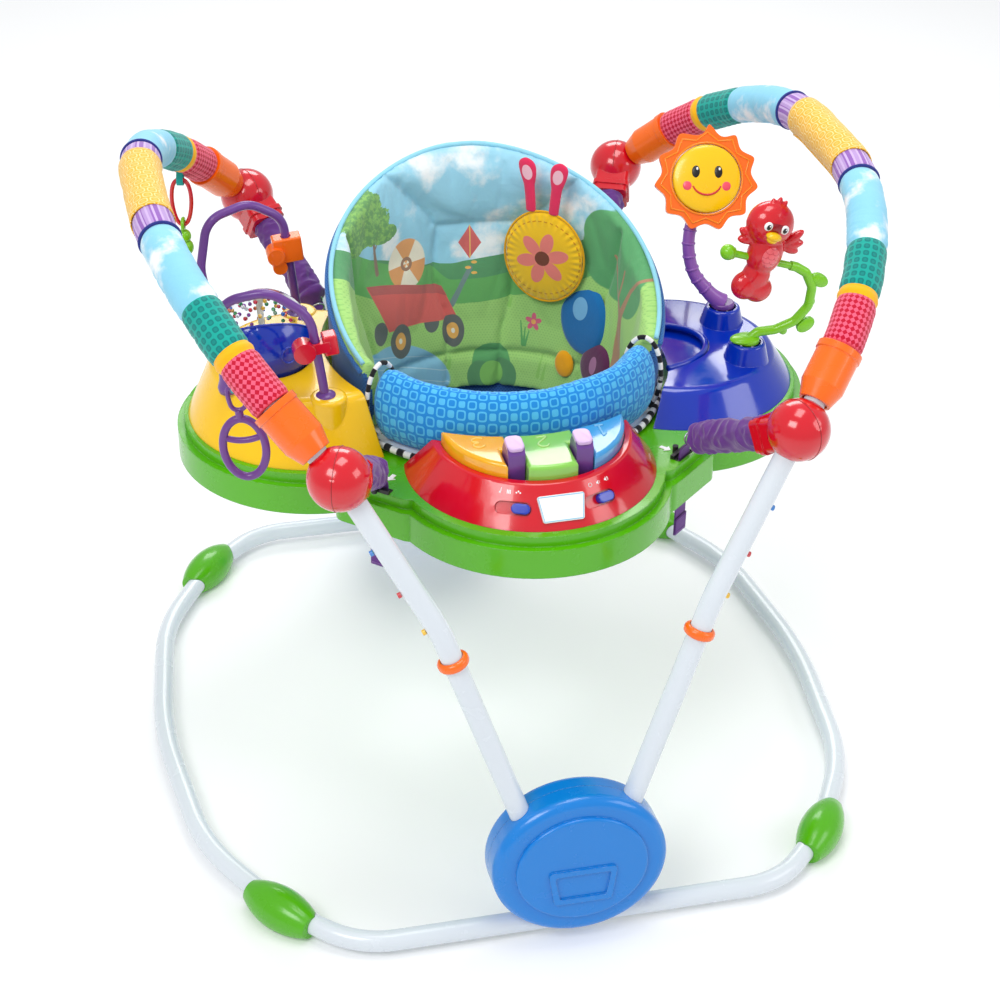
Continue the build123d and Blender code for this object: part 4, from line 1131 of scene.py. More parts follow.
def bumper():
    thetas = np.arange(-148.5, -31.0, 1.5)
    sections = []
    for i in range(len(thetas)):
        end = min(i, len(thetas) - 1 - i) / 4.0
        k = 1.0 if end >= 1 else math.sqrt(max(0.0, 1 - (1 - end) ** 2)) * 0.28 + 0.72
        sections.append([(BUMPER_R + 0.0225 * k * math.cos(q), BUMPER_Z + 0.0475 * k * math.sin(q))
                         for q in full_turn(44)])
    verts, faces = swept(sections, thetas)
    piece = mesh_piece("seat_bumper_pad", verts, faces, BUMPER_PRINT, None)
    modify(piece, "REMESH", mode="VOXEL", voxel_size=0.0045)
    inflate(piece, np.clip((0.505 - coords(piece)[:, 2]) / 0.005, 0, 1), 3.5, 0.0045)
    modify(piece, "SUBSURF", levels=1)
    co = coords(piece)
    theta, r = np.degrees(np.arctan2(co[:, 1], co[:, 0])), np.hypot(co[:, 0], co[:, 1])
    q = np.arctan2((co[:, 2] - BUMPER_Z) / 0.050, (r - BUMPER_R) / 0.024)
    crease = -np.abs(wobble(np.stack([theta * 0.9, q * 1.3, r * 0], 1), 1.0, 12.0)) * 0.0015
    seam = -np.exp(-((co[:, 2] - 0.5015) / 0.003) ** 2) * 0.002
    move = crease + wobble(co, 22.0, 3.0) * 0.0014 + seam
    co[:, :2] += co[:, :2] / r[:, None] * (np.cos(q) * move)[:, None]
    co[:, 2] += np.sin(q) * move
    set_coords(piece, co)
    spin = np.where(q < -math.pi * 0.75, q + TAU, q)
    set_uv(piece, np.stack([np.radians(theta) * 0.205, spin * 0.0375], 1))
    smooth_all(piece)
    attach(piece, "seat")
    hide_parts("seat_bumper")
    for name, a in (("left", -149.2), ("right", -30.3)):
        loop = [from_axis(BUMPER_R + 0.0235 * math.cos(q), a, BUMPER_Z + 0.0495 * math.sin(q))
                for q in full_turn(64)]
        loop_piece("bumper_piping_" + name, loop, 0.0030, PIPING, "seat")


def seat_trim():
    loop = [(0.2052 * math.cos(a), 0.2052 * math.sin(a), 0.4972 + 0.0005 * math.sin(9 * a))
            for a in full_turn(220)]
    loop_piece("seat_base_piping", loop, 0.0044, PIPING, "seat", 14)


def sling():
    """Cloth bowl of the seat: sagged, with bound leg holes."""
    piece = linked("seat_sling_cloth", NODES["seat_sling"].data.copy())
    piece.data.materials.clear()
    piece.data.materials.append(SLING)
    modify(piece, "REMESH", mode="VOXEL", voxel_size=0.0022)
    modify(piece, "SMOOTH", factor=0.5, iterations=6)
    co = coords(piece)
    theta, r = np.arctan2(co[:, 0], -co[:, 1]), np.hypot(co[:, 0], co[:, 1])
    folds = wobble(np.stack([np.cos(theta) * 4.5, np.sin(theta) * 4.5, co[:, 2] * 9], 1), 1.0, 20.0)
    free = np.clip((0.470 - co[:, 2]) / 0.05, 0, 1)
    shift = (folds * 0.0045 + wobble(co, 34.0, 21.0) * 0.0015) * free
    co[:, :2] *= (1 + shift / np.maximum(r, 0.03))[:, None]
    co[:, 2] += wobble(co, 13.0, 23.0) * 0.0035 * free
    set_coords(piece, co)
    set_uv(piece, np.stack([theta * 0.15, co[:, 2] + r * 0.8], 1))
    smooth_all(piece)
    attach(piece, "seat")
    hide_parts("seat_sling")
    floor_r = 0.1175
    for sign, name in ((-1, "left"), (1, "right")):
        loop = []
        for a in full_turn(64):
            x, y = sign * 0.062 + 0.0435 * math.cos(a), -0.046 + 0.0435 * math.sin(a)
            out = math.hypot(x, y)
            rise = 0.010 * out / floor_r if out < floor_r else 0.010 + (out - floor_r) * 1.33
            loop.append((x, y, 0.3355 + rise))
        loop_piece("leg_hole_binding_" + name, loop, 0.0034, RIM_CLOTH, "seat")


def wall_patch(name, theta0, z0, rx, rz, rise, mat, turn):
    """A small stuffed shape sewn to the inner face of the seat back."""
    rings, around = 12, 56
    c, s = math.cos(turn), math.sin(turn)
    verts = [from_axis(look_up(IN_R, z0) - 0.0020 - rise, theta0, z0)]
    uv = [(0.0, 0.0)]
    for i in range(1, rings + 1):
        share = i / rings
        crown = (1 - share ** 2.6) ** 0.55 if share < 1 else -0.35
        for a in full_turn(around):
            dx, dz = share * rx * math.cos(a), share * rz * math.sin(a)
            x, z = dx * c - dz * s, z0 + dx * s + dz * c
            verts.append(from_axis(look_up(IN_R, z) - 0.0020 - rise * crown, theta0 - x / ARC_PER_DEGREE, z))
            uv.append((x, z - z0))
    faces = [(0, 1 + j, 1 + (j + 1) % around) for j in range(around)]
    mesh_piece(name, verts, faces + inside_out(quads(rings, around, 1)), mat, "seat", uv)


def spotted(name, base_rgb, spot_rgb, cx, cy, rx, ry):
    """Plush cloth with one paler oval."""
    t = Tree(name)
    u, v = t.uv()
    col = t.mix(t.noise(50.0, 4.0, 0.6), shade(base_rgb, 0.88), shade(base_rgb, 1.1))
    col = t.mix(t.ellipse(u, v, cx, cy, rx, ry), col, spot_rgb)
    return cloth_finish(t, col, u, v, 0.0010, sheen=0.5, folds=0.0010)


def plush_print():
    """Yellow plush with a stitched flower in its middle."""
    t = Tree("plush_flower")
    u, v = t.uv()
    p = Print(t, u, v, t.mix(t.noise(30.0, 4.0, 0.6), srgb(252, 194, 8), srgb(255, 206, 30)))
    for k in range(6):
        a = TAU * k / 6 + 0.26
        p.oval(0.0215 * math.cos(a), 0.0215 * math.sin(a), 0.0150, 0.0088, srgb(244, 130, 120), a)
    p.oval(0, 0, 0.0100, 0.0100, srgb(120, 60, 40))
    dash = t.step(t.fract(t.math("ARCTAN2", v, u) * (40 / TAU) + 40.0), 0.40, 0.45)
    line = t.step(abs(t.root(u * u + v * v) - 0.0505), 0.0010, 0.0006)
    p.paint(line * dash, srgb(214, 140, 0))
    return cloth_finish(t, p.colour, u, v, 0.0010, sheen=0.6, folds=0.0012)


PLUSH_AT = 54.0


PLUSH_RX, PLUSH_RY, PLUSH_RISE = 0.0545, 0.0625, 0.0072


def plush_mesh(at):
    """Two shallow domes joined round their rims."""
    rings, around = 16, 72
    half = 1 + rings * around
    verts, faces = [], []
    for side in (1, -1):
        first = len(verts)
        verts.append(at @ Vector((0, 0, side * PLUSH_RISE)))
        for i in range(1, rings + 1):
            s = i / rings
            h = side * (PLUSH_RISE * (1 - s ** 2.5) ** 0.5 if i < rings else 0.0006)
            verts += ring_line(at, PLUSH_RX * s, around, PLUSH_RY * s, h)
        dome = [(first, first + 1 + j, first + 1 + (j + 1) % around) for j in range(around)]
        dome += inside_out(quads(rings, around, first + 1))
        faces += dome if side > 0 else [f[::-1] for f in dome]
    rim = 1 + (rings - 1) * around
    for j in range(around):
        a, b = rim + j, rim + (j + 1) % around
        faces.append((a, half + a, half + b, b))
    return verts, faces


def plush():
    """Round stuffed pad on the seat back, with two pink soft tabs above it."""
    away = Vector(from_axis(1.0, PLUSH_AT, 0))
    at = basis(away * 0.159 + Vector((0, 0, 0.604)), -away, (away.y, -away.x, 0))

    def in_pad(co):
        back = at.inverted()
        local = np.array([back @ Vector(p) for p in co])
        return local, np.hypot(local[:, 0] / PLUSH_RX, local[:, 1] / PLUSH_RY)

    verts, faces = plush_mesh(at)
    piece = mesh_piece("plush_flower_pad", verts, faces, plush_print(), None)
    modify(piece, "REMESH", mode="VOXEL", voxel_size=0.0026)
    _, rim = in_pad(coords(piece))
    inflate(piece, np.clip((rim - 0.95) / 0.05, 0, 1), 3.0, 0.0050)
    modify(piece, "SUBSURF", levels=1)
    local, rim = in_pad(coords(piece))
    spin = np.arctan2(local[:, 1], local[:, 0])
    pucker = np.sin(spin * 34) * 0.0007 * np.exp(-((rim - 0.86) / 0.12) ** 2)
    local[:, 2] += np.sign(local[:, 2]) * (pucker + wobble(local, 40.0, 31.0) * 0.0010)
    set_uv(piece, local[:, :2])
    set_coords(piece, np.array([at @ Vector(p) for p in local]))
    smooth_all(piece)
    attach(piece, "seat")
    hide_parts("plush_head")
    seam = ring_line(at, PLUSH_RX + 0.0003, 90, PLUSH_RY + 0.0003)
    loop_piece("plush_seam", seam, 0.0016, plain_cloth("plush_seam_cloth", srgb(236, 172, 0)), "seat", 8)
    pink = spotted("tab_pink", srgb(232, 44, 92), srgb(248, 190, 204), 0.0, 0.052, 0.0070, 0.0095)
    for name, x0, x1 in (("left", -0.0200, -0.0300), ("right", 0.0110, 0.0170)):
        soft_tab("plush_tab_" + name, at, x0, x1, pink)
    blue = spotted("patch_blue", srgb(10, 108, 176), srgb(116, 178, 222), -0.004, 0.016, 0.0130, 0.0150)
    plum = spotted("patch_plum", srgb(92, 34, 78), srgb(168, 108, 150), 0.002, 0.004, 0.0080, 0.0120)
    orange = spotted("patch_orange", srgb(250, 168, 10), srgb(250, 176, 30), 0.0, 0.0, 0.001, 0.001)
    wall_patch("plush_blue_patch", 34.0, 0.525, 0.040, 0.047, 0.0075, blue, 0.3)
    wall_patch("plush_plum_patch", 21.5, 0.474, 0.032, 0.030, 0.0070, plum, 0.2)
    wall_patch("plush_orange_patch", 41.0, 0.458, 0.016, 0.018, 0.0045, orange, 0.5)


def soft_tab(name, at, x0, x1, mat):
    """Stuffed tab: a narrow stem that widens to a rounded paddle."""
    stations, around, length = 26, 20, 0.0700
    verts, uv = [], []
    for i in range(stations):
        s = i / (stations - 1)
        taper = 1.0 if s <= 0.84 else math.sqrt(max(0.02, 1 - ((s - 0.84) / 0.16) ** 2))
        if s < 0.5:
            w = 0.0068 + 0.0012 * s
        else:
            w = (0.0074 + 0.0046 * math.sin(min(1.0, (s - 0.5) / 0.34) * math.pi / 2)) * taper
        x, y = x0 + (x1 - x0) * s ** 1.3, 0.0600 + length * s
        for q in full_turn(around):
            verts.append(at @ Vector((x + w * math.cos(q), y, -0.0050 * s + 0.0036 * taper * math.sin(q))))
            uv.append((w * math.cos(q), length * s))
    piece = mesh_piece(name, verts, quads(stations, around) + end_caps(stations, around), mat, "seat", uv)
    modify(piece, "SUBSURF", levels=1)
    smooth_all(piece)


seat_back()
bumper()
seat_trim()
sling()
plush()


# ---------------------------------------------------------------- springs and straps
CORNERS = (("left_front", -1, -1), ("right_front", 1, -1), ("right_rear", 1, 1), ("left_rear", -1, 1))
HOOK = (0.185, 0.205, 0.512)
SPRING_CLOTH = plain_cloth("spring_cover_purple", srgb(100, 52, 132), sheen=0.35, folds=0.0014)


def webbing(name, rgb):
    """Ribbed strap with darker lines along it."""
    t = Tree(name)
    u, v = t.uv()
    rib = t.math("SINE", v * (TAU / 0.0016)) * 0.5 + 0.5
    line = t.math("SINE", u * (TAU / 0.0031)) * 0.5 + 0.5
    col = t.mix(rib * 0.5, shade(rgb, 0.78), shade(rgb, 1.1))
    col = t.mix(line * 0.25, col, shade(rgb, 0.7))
    return cloth_finish(t, col, u, v, 0.0008, sheen=0.2, folds=0.0004)


WEBBING = webbing("purple_webbing_weave", srgb(112, 62, 146))
STITCH = plain_cloth("strap_stitching", srgb(150, 104, 180), folds=0.0001)


def corner_line(sx, sy):
    """Centre of a corner ball, its strap hook, and the direction from one to the other."""
    ball, hook = (np.array((sx * p[0], sy * p[1], p[2])) for p in (BALL, HOOK))
    return ball, hook, (hook - ball) / np.linalg.norm(hook - ball)


def springs():
    for name, sx, sy in CORNERS:
        ball, hook, aim = corner_line(sx, sy)
        spring_coil(name, ball, hook, aim)
        spring_cover(name, ball, hook, aim, 5.0 + sx * 2 + sy)
        strap(name, sx, sy, hook - aim * 0.0165)


def spring_coil(name, ball, hook, aim):
    turns, per_turn, grip = 15, 22, 0.0098
    side = np.cross(aim, (0, 0, 1.0))
    side /= np.linalg.norm(side)
    up = np.cross(side, aim)
    low = ball + aim * 0.036
    path = []
    for s in np.linspace(0, 1, turns * per_turn + 1):
        a = TAU * turns * s
        r = grip * (1.0 if s < 0.93 else 1 - (s - 0.93) / 0.07 * 0.7)
        path.append(low + (hook - aim * 0.002 - low) * s + side * r * math.cos(a) + up * r * math.sin(a))
    verts, faces, _ = tube(path, 0.0011, 8)
    coil = mesh_piece("spring_coil_" + name, verts, faces, MAT["steel"], None)
    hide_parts("bounce_springs")
    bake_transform(coil)


def spring_cover(name, ball, hook, aim, seed):
    """Fabric tube gathered along its spring and drawn in at the hook."""
    n, around = ((200, 60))
    top, end = ball + aim * 0.0566, hook - aim * 0.0165
    share = np.linspace(0, 1, n)
    path = top[None, :] + (end - top)[None, :] * share[:, None]
    path[:, 2] += 0.0012 * np.sin(share * math.pi)
    angle = np.arange(around) * TAU / around
    along = (share + 0.03 * np.sin(9 * share)) * 9.0
    grid = np.stack([np.repeat(along[:, None], around, 1), np.repeat(np.cos(angle)[None, :] * 1.05, n, 0),
                     np.repeat(np.sin(angle)[None, :] * 1.05, n, 0)], -1)
    ridge = 1 - np.abs(grid_wobble(grid, (1.0, 1.0, 1.0), seed)) * 2.2
    fine = grid_wobble(grid, (2.1, 2.2, 2.2), seed + 4)
    big = grid_wobble(grid, (0.25, 1.2, 1.2), seed + 8)
    r = 0.0178 + 0.0026 * ridge + 0.0013 * fine + 0.0016 * big
    close = np.clip((1 - share) / 0.10, 0, 1)
    neck = 0.0052
    r = neck + (r - neck) * (close * close * (3 - 2 * close))[:, None] ** 0.6
    r *= (1 - 0.14 * np.exp(-((share - 0.86) / 0.02) ** 2))[:, None]
    verts, faces, uv = tube(path, np.clip(r, 0.004, 0.0222), around)
    cover = mesh_piece("spring_cover_" + name, verts, faces, SPRING_CLOTH, None, uv)
    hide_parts("spring_covers")
    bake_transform(cover)


def slot_directions(sx, sy):
    """Directions along a strap slot and outward from it."""
    angle = math.atan2(HOOK[1], HOOK[0]) * (1 if sx * sy > 0 else -1)
    along = np.array((-math.sin(angle), math.cos(angle), 0.0))
    return along, np.array((math.cos(angle), math.sin(angle), 0.0)) * sx


def strap(name, sx, sy, from_point):
    """Webbing from the spring's ring down through the slot, with a folded hem."""
    width, thick, deck = 0.0245, 0.0016, 0.490
    across, outward = slot_directions(sx, sy)
    at = np.array((sx * HOOK[0], sy * HOOK[1], 0.0))

    def point(out, z):
        return at + outward * out + np.array((0, 0, z))

    pts = [(0.0, -0.108), (0.0, -0.085), (0.0, -0.05), (0.0, -0.015), (0.0002, 0.0), (0.0010, 0.010),
           (0.0045, 0.0185)]
    path = [point(o, deck + z) for o, z in pts]
    path.append(from_point - (0, 0, 0.0010))
    curve = smooth_path(path, 10)
    piece = ribbon(curve, across, width, thick, "strap_" + name, WEBBING, "tray")
    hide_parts("strap_tails")
    hem_path = [point(0.0019, z) for z in np.linspace(0.3825, 0.4060, 8)]
    hem = ribbon(hem_path, across, width, thick, "strap_hem_" + name, WEBBING, "tray")
    for z in (0.3860, 0.4030):
        line = [point(0.0030, z) + across * x for x in np.linspace(-0.0105, 0.0105, 12)]
        tube_piece("strap_stitch_%s_%d" % (name, z * 1e4), line, 0.00035, STITCH, "tray", 6)


# ---------------------------------------------------------------- toys
def lump_points(at, centre, radii, rings, around):
    """Rings of points over a rounded lump in a local frame."""
    points = []
    for i in range(rings + 1):
        lat = -math.pi / 2 + math.pi * (0.02 + 0.96 * i / rings)
        for a in full_turn(around):
            ball = (math.cos(lat) * math.cos(a), math.cos(lat) * math.sin(a), math.sin(lat))
            points.append(at @ Vector([c + r * b for c, r, b in zip(centre, radii, ball)]))
    return points


def ellipsoid(name, at, centre, radii, mat, body, rings=18, around=36):
    """Rounded lump in a local frame."""
    faces = quads(rings + 1, around) + end_caps(rings + 1, around)
    return mesh_piece(name, lump_points(at, centre, radii, rings, around), faces, mat, body)


def local_tube(name, at, points, radius, mat, body, around=16, steps=10):
    path = [at @ Vector(p) for p in smooth_path(points, steps)]
    return tube_piece(name, [tuple(p) for p in path], radius, mat, body, around)


SUN_AT = basis((0.287, 0.075, 0.7185), (-0.2, -0.854, 0.48), (0.973, -0.23, 0.0))
SUN_RELIEF = plastic("sun_relief", srgb(255, 140, 8), 0.28, 0.3)
INK = plastic("printed_black", srgb(18, 14, 14), 0.4, 0.1, bevel=0.0002)
STALK = plastic("stalk_purple", srgb(140, 84, 172), 0.32, 0.2)
DARK_RED = plastic("bird_dark_red", srgb(150, 8, 24), 0.2, 0.4)


def sun():
    body, points = "sun_toy", 11
    zig = []
    for i in range(2 * points):
        r, a = (0.0492 if i % 2 else 0.0580), math.pi * i / points + math.pi / 2
        zig.append(SUN_AT @ Vector((r * math.cos(a), r * math.sin(a), 0.0052)))
    loop_piece("sun_zigzag", along_sides(zig, 6), 0.0011, SUN_RELIEF, body, 8)
    loop_piece("sun_inner_rim", ring_line(SUN_AT, 0.0450, 90, z=0.0055), 0.0014, SUN_RELIEF, body, 10)
    profile = [(0.0425 * math.cos(a), 0.0070 + 0.0052 * math.sin(a)) for a in np.linspace(0, 1.45, 12)]
    dome = lathe("sun_face_dome", profile + [(0.0008, 0.0122)], MAT["yellow"], body, SUN_AT)
    for sx, tag in ((-1, "left"), (1, "right")):
        x = sx * 0.0140
        ellipsoid("sun_eye_" + tag, SUN_AT, (x, 0.0080, 0.0114), (0.0052, 0.0078, 0.0016), INK, body)
        ellipsoid("sun_glint_" + tag, SUN_AT, (x + 0.0014, 0.0118, 0.0128), (0.0014, 0.0019, 0.0005),
                  MAT["icon"],
                  body, 8, 14)
        ellipsoid("sun_cheek_" + tag, SUN_AT, (sx * 0.0235, -0.0090, 0.0098), (0.0070, 0.0070, 0.0022),
                  MAT["cheek"],
                  body)
    smile = [(0.0185 * math.cos(a), -0.004 + 0.0165 * math.sin(a), 0.0122 - 0.0014 * abs(math.cos(a)))
             for a in np.linspace(math.radians(200), math.radians(340), 10)]
    local_tube("sun_smile", SUN_AT, smile, 0.0013, plastic("smile_red", srgb(214, 24, 40), 0.3, 0.3), body,
               8, 4)
    sun_stalk(body)


def sun_stalk(body):
    """Ribbed stalk that widens into its socket."""
    stalk = [(0.3085, 0.0420, 0.5600), (0.3020, 0.0430, 0.5645), (0.2905, 0.0455, 0.5750),
             (0.2715, 0.0510, 0.6000), (0.2640, 0.0570, 0.6310), (0.2675, 0.0660, 0.6580),
             (0.2790, 0.0795, 0.6830), (0.2850, 0.0850, 0.6960)]
    path = smooth_path(stalk, 24)
    run = run_along(path)
    flare = 0.0078 + 0.0042 * np.exp(-run / 0.022)
    skin = tube_piece("sun_stalk_skin", path, flare, STALK, body, 32)
    tangent = np.gradient(path, axis=0)
    rib = ((-0.0010, -0.0022), (0.0008, -0.0014), (0.0012, 0.0), (0.0008, 0.0014), (-0.0010, 0.0022))
    for i, m in enumerate(np.arange(0.030, run[-1] - 0.006, 0.0165)):
        k = int(np.searchsorted(run, m))
        at = basis(path[k], tangent[k], (0.3, 1.0, 0.2))
        lathe("stalk_rib_%02d" % i, [(flare[k] + r, z) for r, z in rib], STALK, body, at, 32)


BAR_DIR = Vector((0.954, 0.0, -0.299)).normalized()
BIRD_AT = basis((0.314, -0.075, 0.675), (0, -1, 0), BAR_DIR)


def merged(name, lumps, voxel, mat, body, melt):
    """One smooth skin round several rounded lumps: (frame, radii) each."""
    rings, around = 16, 28
    verts, faces = [], []
    for at, radii in lumps:
        faces += quads(rings + 1, around, len(verts)) + end_caps(rings + 1, around, len(verts))
        verts += lump_points(at, (0, 0, 0), radii, rings, around)
    piece = mesh_piece(name, verts, faces, mat, None)
    modify(piece, "REMESH", mode="VOXEL", voxel_size=voxel)
    modify(piece, "SMOOTH", factor=0.5, iterations=melt)
    smooth_all(piece)
    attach(piece, body)
    return piece


def bird():
    body = "bird"
    spots = [(-0.009, 0.047, 0.0, (0.0298, 0.0285, 0.0228), 0.0),
             (-0.001, 0.010, 0.0, (0.0225, 0.0300, 0.0180), 0.0),
             (-0.001, -0.022, 0.0, (0.0180, 0.0230, 0.0140), 0.0),
             (-0.009, -0.037, 0.0, (0.0185, 0.0185, 0.0132), -0.20),
             (0.008, -0.038, 0.0, (0.0185, 0.0175, 0.0132), 0.20)]
    for sx in (-1, 1):
        for i in range(3):
            a = math.radians(50 - 28 * i)
            half = 0.62 * (0.0270 - 0.0035 * i)
            spots.append((sx * (0.0170 + half * math.cos(a)), 0.0215 + half * math.sin(a), -0.002,
                          (half, 0.0060, 0.0062), sx * a))
    for x, y, a in ((-0.015, 0.0735, 0.4), (-0.008, 0.0765, 0.0), (-0.001, 0.0740, -0.4)):
        spots.append((x, y, 0.0, (0.0032, 0.0062, 0.0034), a))
    lumps = [(BIRD_AT @ Matrix.Translation((x, y, z)) @ Matrix.Rotation(turn, 4, "Z"), radii)
             for x, y, z, radii, turn in spots]
    skin = merged("bird_skin", lumps, 0.0014, MAT["bird_red"], body, 5)
    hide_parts("bird")
    mask = ellipsoid("bird_mask", BIRD_AT, (-0.009, 0.0490, 0.0085), (0.0228, 0.0145, 0.0148), DARK_RED, body)
    chest = ellipsoid("bird_chest", BIRD_AT, (0.000, 0.010, 0.0110), (0.0130, 0.0165, 0.0088),
                      chest_material(), body)
    back = BIRD_AT.inverted()
    set_uv(chest, np.array([(back @ Vector(p))[:2] for p in coords(chest)]))
    white, beak = MAT["icon"], MAT["yellow"]
    features = [("beak_top", (-0.0105, 0.0400, 0.0245), (0.0100, 0.0052, 0.0080), beak, 14, 24),
                ("beak_low", (-0.0105, 0.0348, 0.0228), (0.0066, 0.0042, 0.0060), beak, 12, 20)]
    for sx, side in ((-1, "left"), (1, "right")):
        x = -0.0095 + sx * 0.0108
        features += [("eye_white_" + side, (x, 0.0500, 0.0212), (0.0056, 0.0058, 0.0026), white, 12, 24),
                     ("eye_" + side, (x, 0.0497, 0.0231), (0.0030, 0.0036, 0.0012), INK, 10, 20),
                     ("glint_" + side, (x + 0.0008, 0.0512, 0.0240), (0.0009, 0.0011, 0.0004), white, 8, 14)]
    for name, centre, radii, mat, rings, around in features:
        ellipsoid("bird_" + name, BIRD_AT, centre, radii, mat, body, rings, around)


def chest_material():
    t = Tree("bird_chest_scales")
    u, v = t.uv()
    gx, gy = grid_cell(t, u, v, 0.0085, 0.0062, 0.5)
    gy = gy - 0.45
    arc = t.step(abs(t.root(gx * gx + gy * gy) - 0.52), 0.10, 0.03)
    t.set("Base Color", t.mix(arc * 0.75, srgb(244, 104, 112), srgb(206, 40, 58)))
    t.set("Roughness", t.noise(200.0) * 0.1 + 0.22)
    t.set("Normal", t.bump(1.0 - arc, 0.0005, 0.6))
    t.set("Coat Weight", 0.4)
    return t.mat


def vine():
    """Knob at the bar's end, root leaf and small leaves."""
    spots = [("knob", Vector((0.314, -0.075, 0.675)) - BAR_DIR * 0.0475, None, (0.0098, 0.0098, 0.0098), 18,
              36),
             ("root_leaf", (0.306, -0.0575, 0.5585), None, (0.0190, 0.0140, 0.0052), 18, 36)]
    leaves = (((0.390, -0.0748, 0.640), 30, 1.0), ((0.380, -0.0698, 0.577), -35, 1.0),
              ((0.352, -0.0640, 0.571), 60, 0.7), ((0.383, -0.0740, 0.612), 80, 0.55))
    for i, (at, tilt, size) in enumerate(leaves):
        spots.append(("leaf_%d" % i, at, tilt, (0.0126 * size, 0.0085 * size, 0.0042 * size), 12, 28))
    for name, place, tilt, radii, rings, around in spots:
        at = Matrix.Translation(place)
        if tilt is not None:
            at = at @ Matrix.Rotation(math.radians(tilt), 4, "Y") @ Matrix.Rotation(math.pi / 2, 4, "X")
        ellipsoid("vine_" + name, at, (0, 0, 0), radii, MAT["leaf"], "vine_toy", rings, around)


GLOBE = Vector((-0.288, 0.0, 0.592))
GLOBE_LEAN = math.radians(42.0)


def globe():
    """Beads, axle and inner floor behind the clear half, and raised swirls on the blue half."""
    body, shell = "globe", 0.0601
    at = Matrix.Translation(GLOBE) @ Matrix.Rotation(-GLOBE_LEAN, 4, "X")
    axle = plastic("globe_axle", srgb(236, 226, 200), 0.4, 0.1)
    lathe("globe_axle_post", [(0.0040, -0.002), (0.0040, 0.044), (0.0075, 0.046), (0.0075, 0.051)], axle,
          body, at, 28)
    floor = plastic("globe_floor", srgb(196, 214, 236), 0.3, 0.3)
    lathe("globe_inner_floor", [(0.0005, 0.0002), (0.0560, 0.0002), (0.0560, 0.0022), (0.0005, 0.0060)],
          floor, body,
          at, 48)
    globe_beads(body, at)
    for q in range(5):
        loop = []
        for s in np.linspace(0.5, 5.6, 30):
            x, y = TAU * q / 5 + 0.2 + 0.22 * math.cos(s), -0.62 + 0.17 * math.sin(s)
            loop.append((shell * math.cos(y) * math.cos(x), shell * math.cos(y) * math.sin(x), shell
                         * math.sin(y)))
        local_tube("globe_emboss_%d" % q, at, loop, 0.0014, MAT["royal"], body, 10, 2)
    loop_piece("globe_rim", ring_line(at, 0.0600, 90), 0.0014, MAT["royal"], body, 10)


def globe_beads(body, at):
    """Coloured beads spread over a ball by the golden angle."""
    colours = (srgb(230, 30, 60), srgb(250, 190, 20), srgb(40, 160, 80), srgb(30, 110, 210),
               srgb(240, 110, 30),
               srgb(150, 60, 170), srgb(250, 250, 250))
    mats = [plastic("bead_%d" % i, c, 0.25, 0.4, bevel=0.0004) for i, c in enumerate(colours)]
    count, spread, size = 90, 0.0545, 0.0026
    for i in range(count):
        z = 0.0100 + 0.0430 * (i + 0.5) / count
        r = math.sqrt(max(0.0, spread ** 2 - z * z)) * (0.96 if i % 3 else 0.72)
        a = math.pi * (3 - math.sqrt(5)) * i
        ellipsoid("globe_bead_%02d" % i, at, (r * math.cos(a), r * math.sin(a), z), (size, size, size),
                  mats[i % len(mats)], body, 8, 12)


HANG_X, HANG_Y, HANG_Z = 0.35327, 0.27894, 0.68368


def toy_plane(sx, sy, tilt):
    """Plane of a hanging toy: origin in its fabric loop, X sideways, Y up."""
    at = Matrix(((0.97, 0.0, -0.243, sx * HANG_X), (-0.243, 0.0, -0.97, sy * HANG_Y),
                 (0.0, 1.0, 0.0, HANG_Z), (0, 0, 0, 1)))
    return at @ Matrix.Rotation(math.radians(tilt), 4, "Z")


def rounded_loop(points, cuts=3):
    points = [Vector(p) for p in points]
    for _ in range(cuts):
        points = [q for p, r in zip(points, points[1:] + points[:1])
                  for q in (p.lerp(r, 0.25), p.lerp(r, 0.75))]
    return points


def toy_ring(name, at, points, radius, mat, body):
    return loop_piece(name, [at @ p for p in rounded_loop(points)], radius, mat, body, 16)


def hanging_links():
    """Moulded rings with soft corners."""
    links = (("link_red", -1, 1, 0.0, 0.0090, 0.062, 0.0028, 0.0140, "red", "red_gloss"),
             ("link_yellow", 1, 1, 8.0, 0.0090, 0.115, 0.0028, 0.0170, "yellow", "yellow_gloss"),
             ("loop_green", 1, -1, -14.0, 0.0080, 0.062, 0.0022, 0.0120, "green", "green_gloss"))
    for node, sx, sy, tilt, top, drop, wire, belly, mat, slot in links:
        points = [(-top, 0.0006, 0), (top, 0.0006, 0), (belly, -drop * 0.45, 0),
                  (top * 0.8, -drop - 0.0006, 0),
                  (-top * 0.8, -drop - 0.0006, 0), (-belly, -drop * 0.45, 0)]
        ring = toy_ring(node + "_ring", toy_plane(sx, sy, tilt), points, wire, MAT[mat], node)
        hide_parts(node)


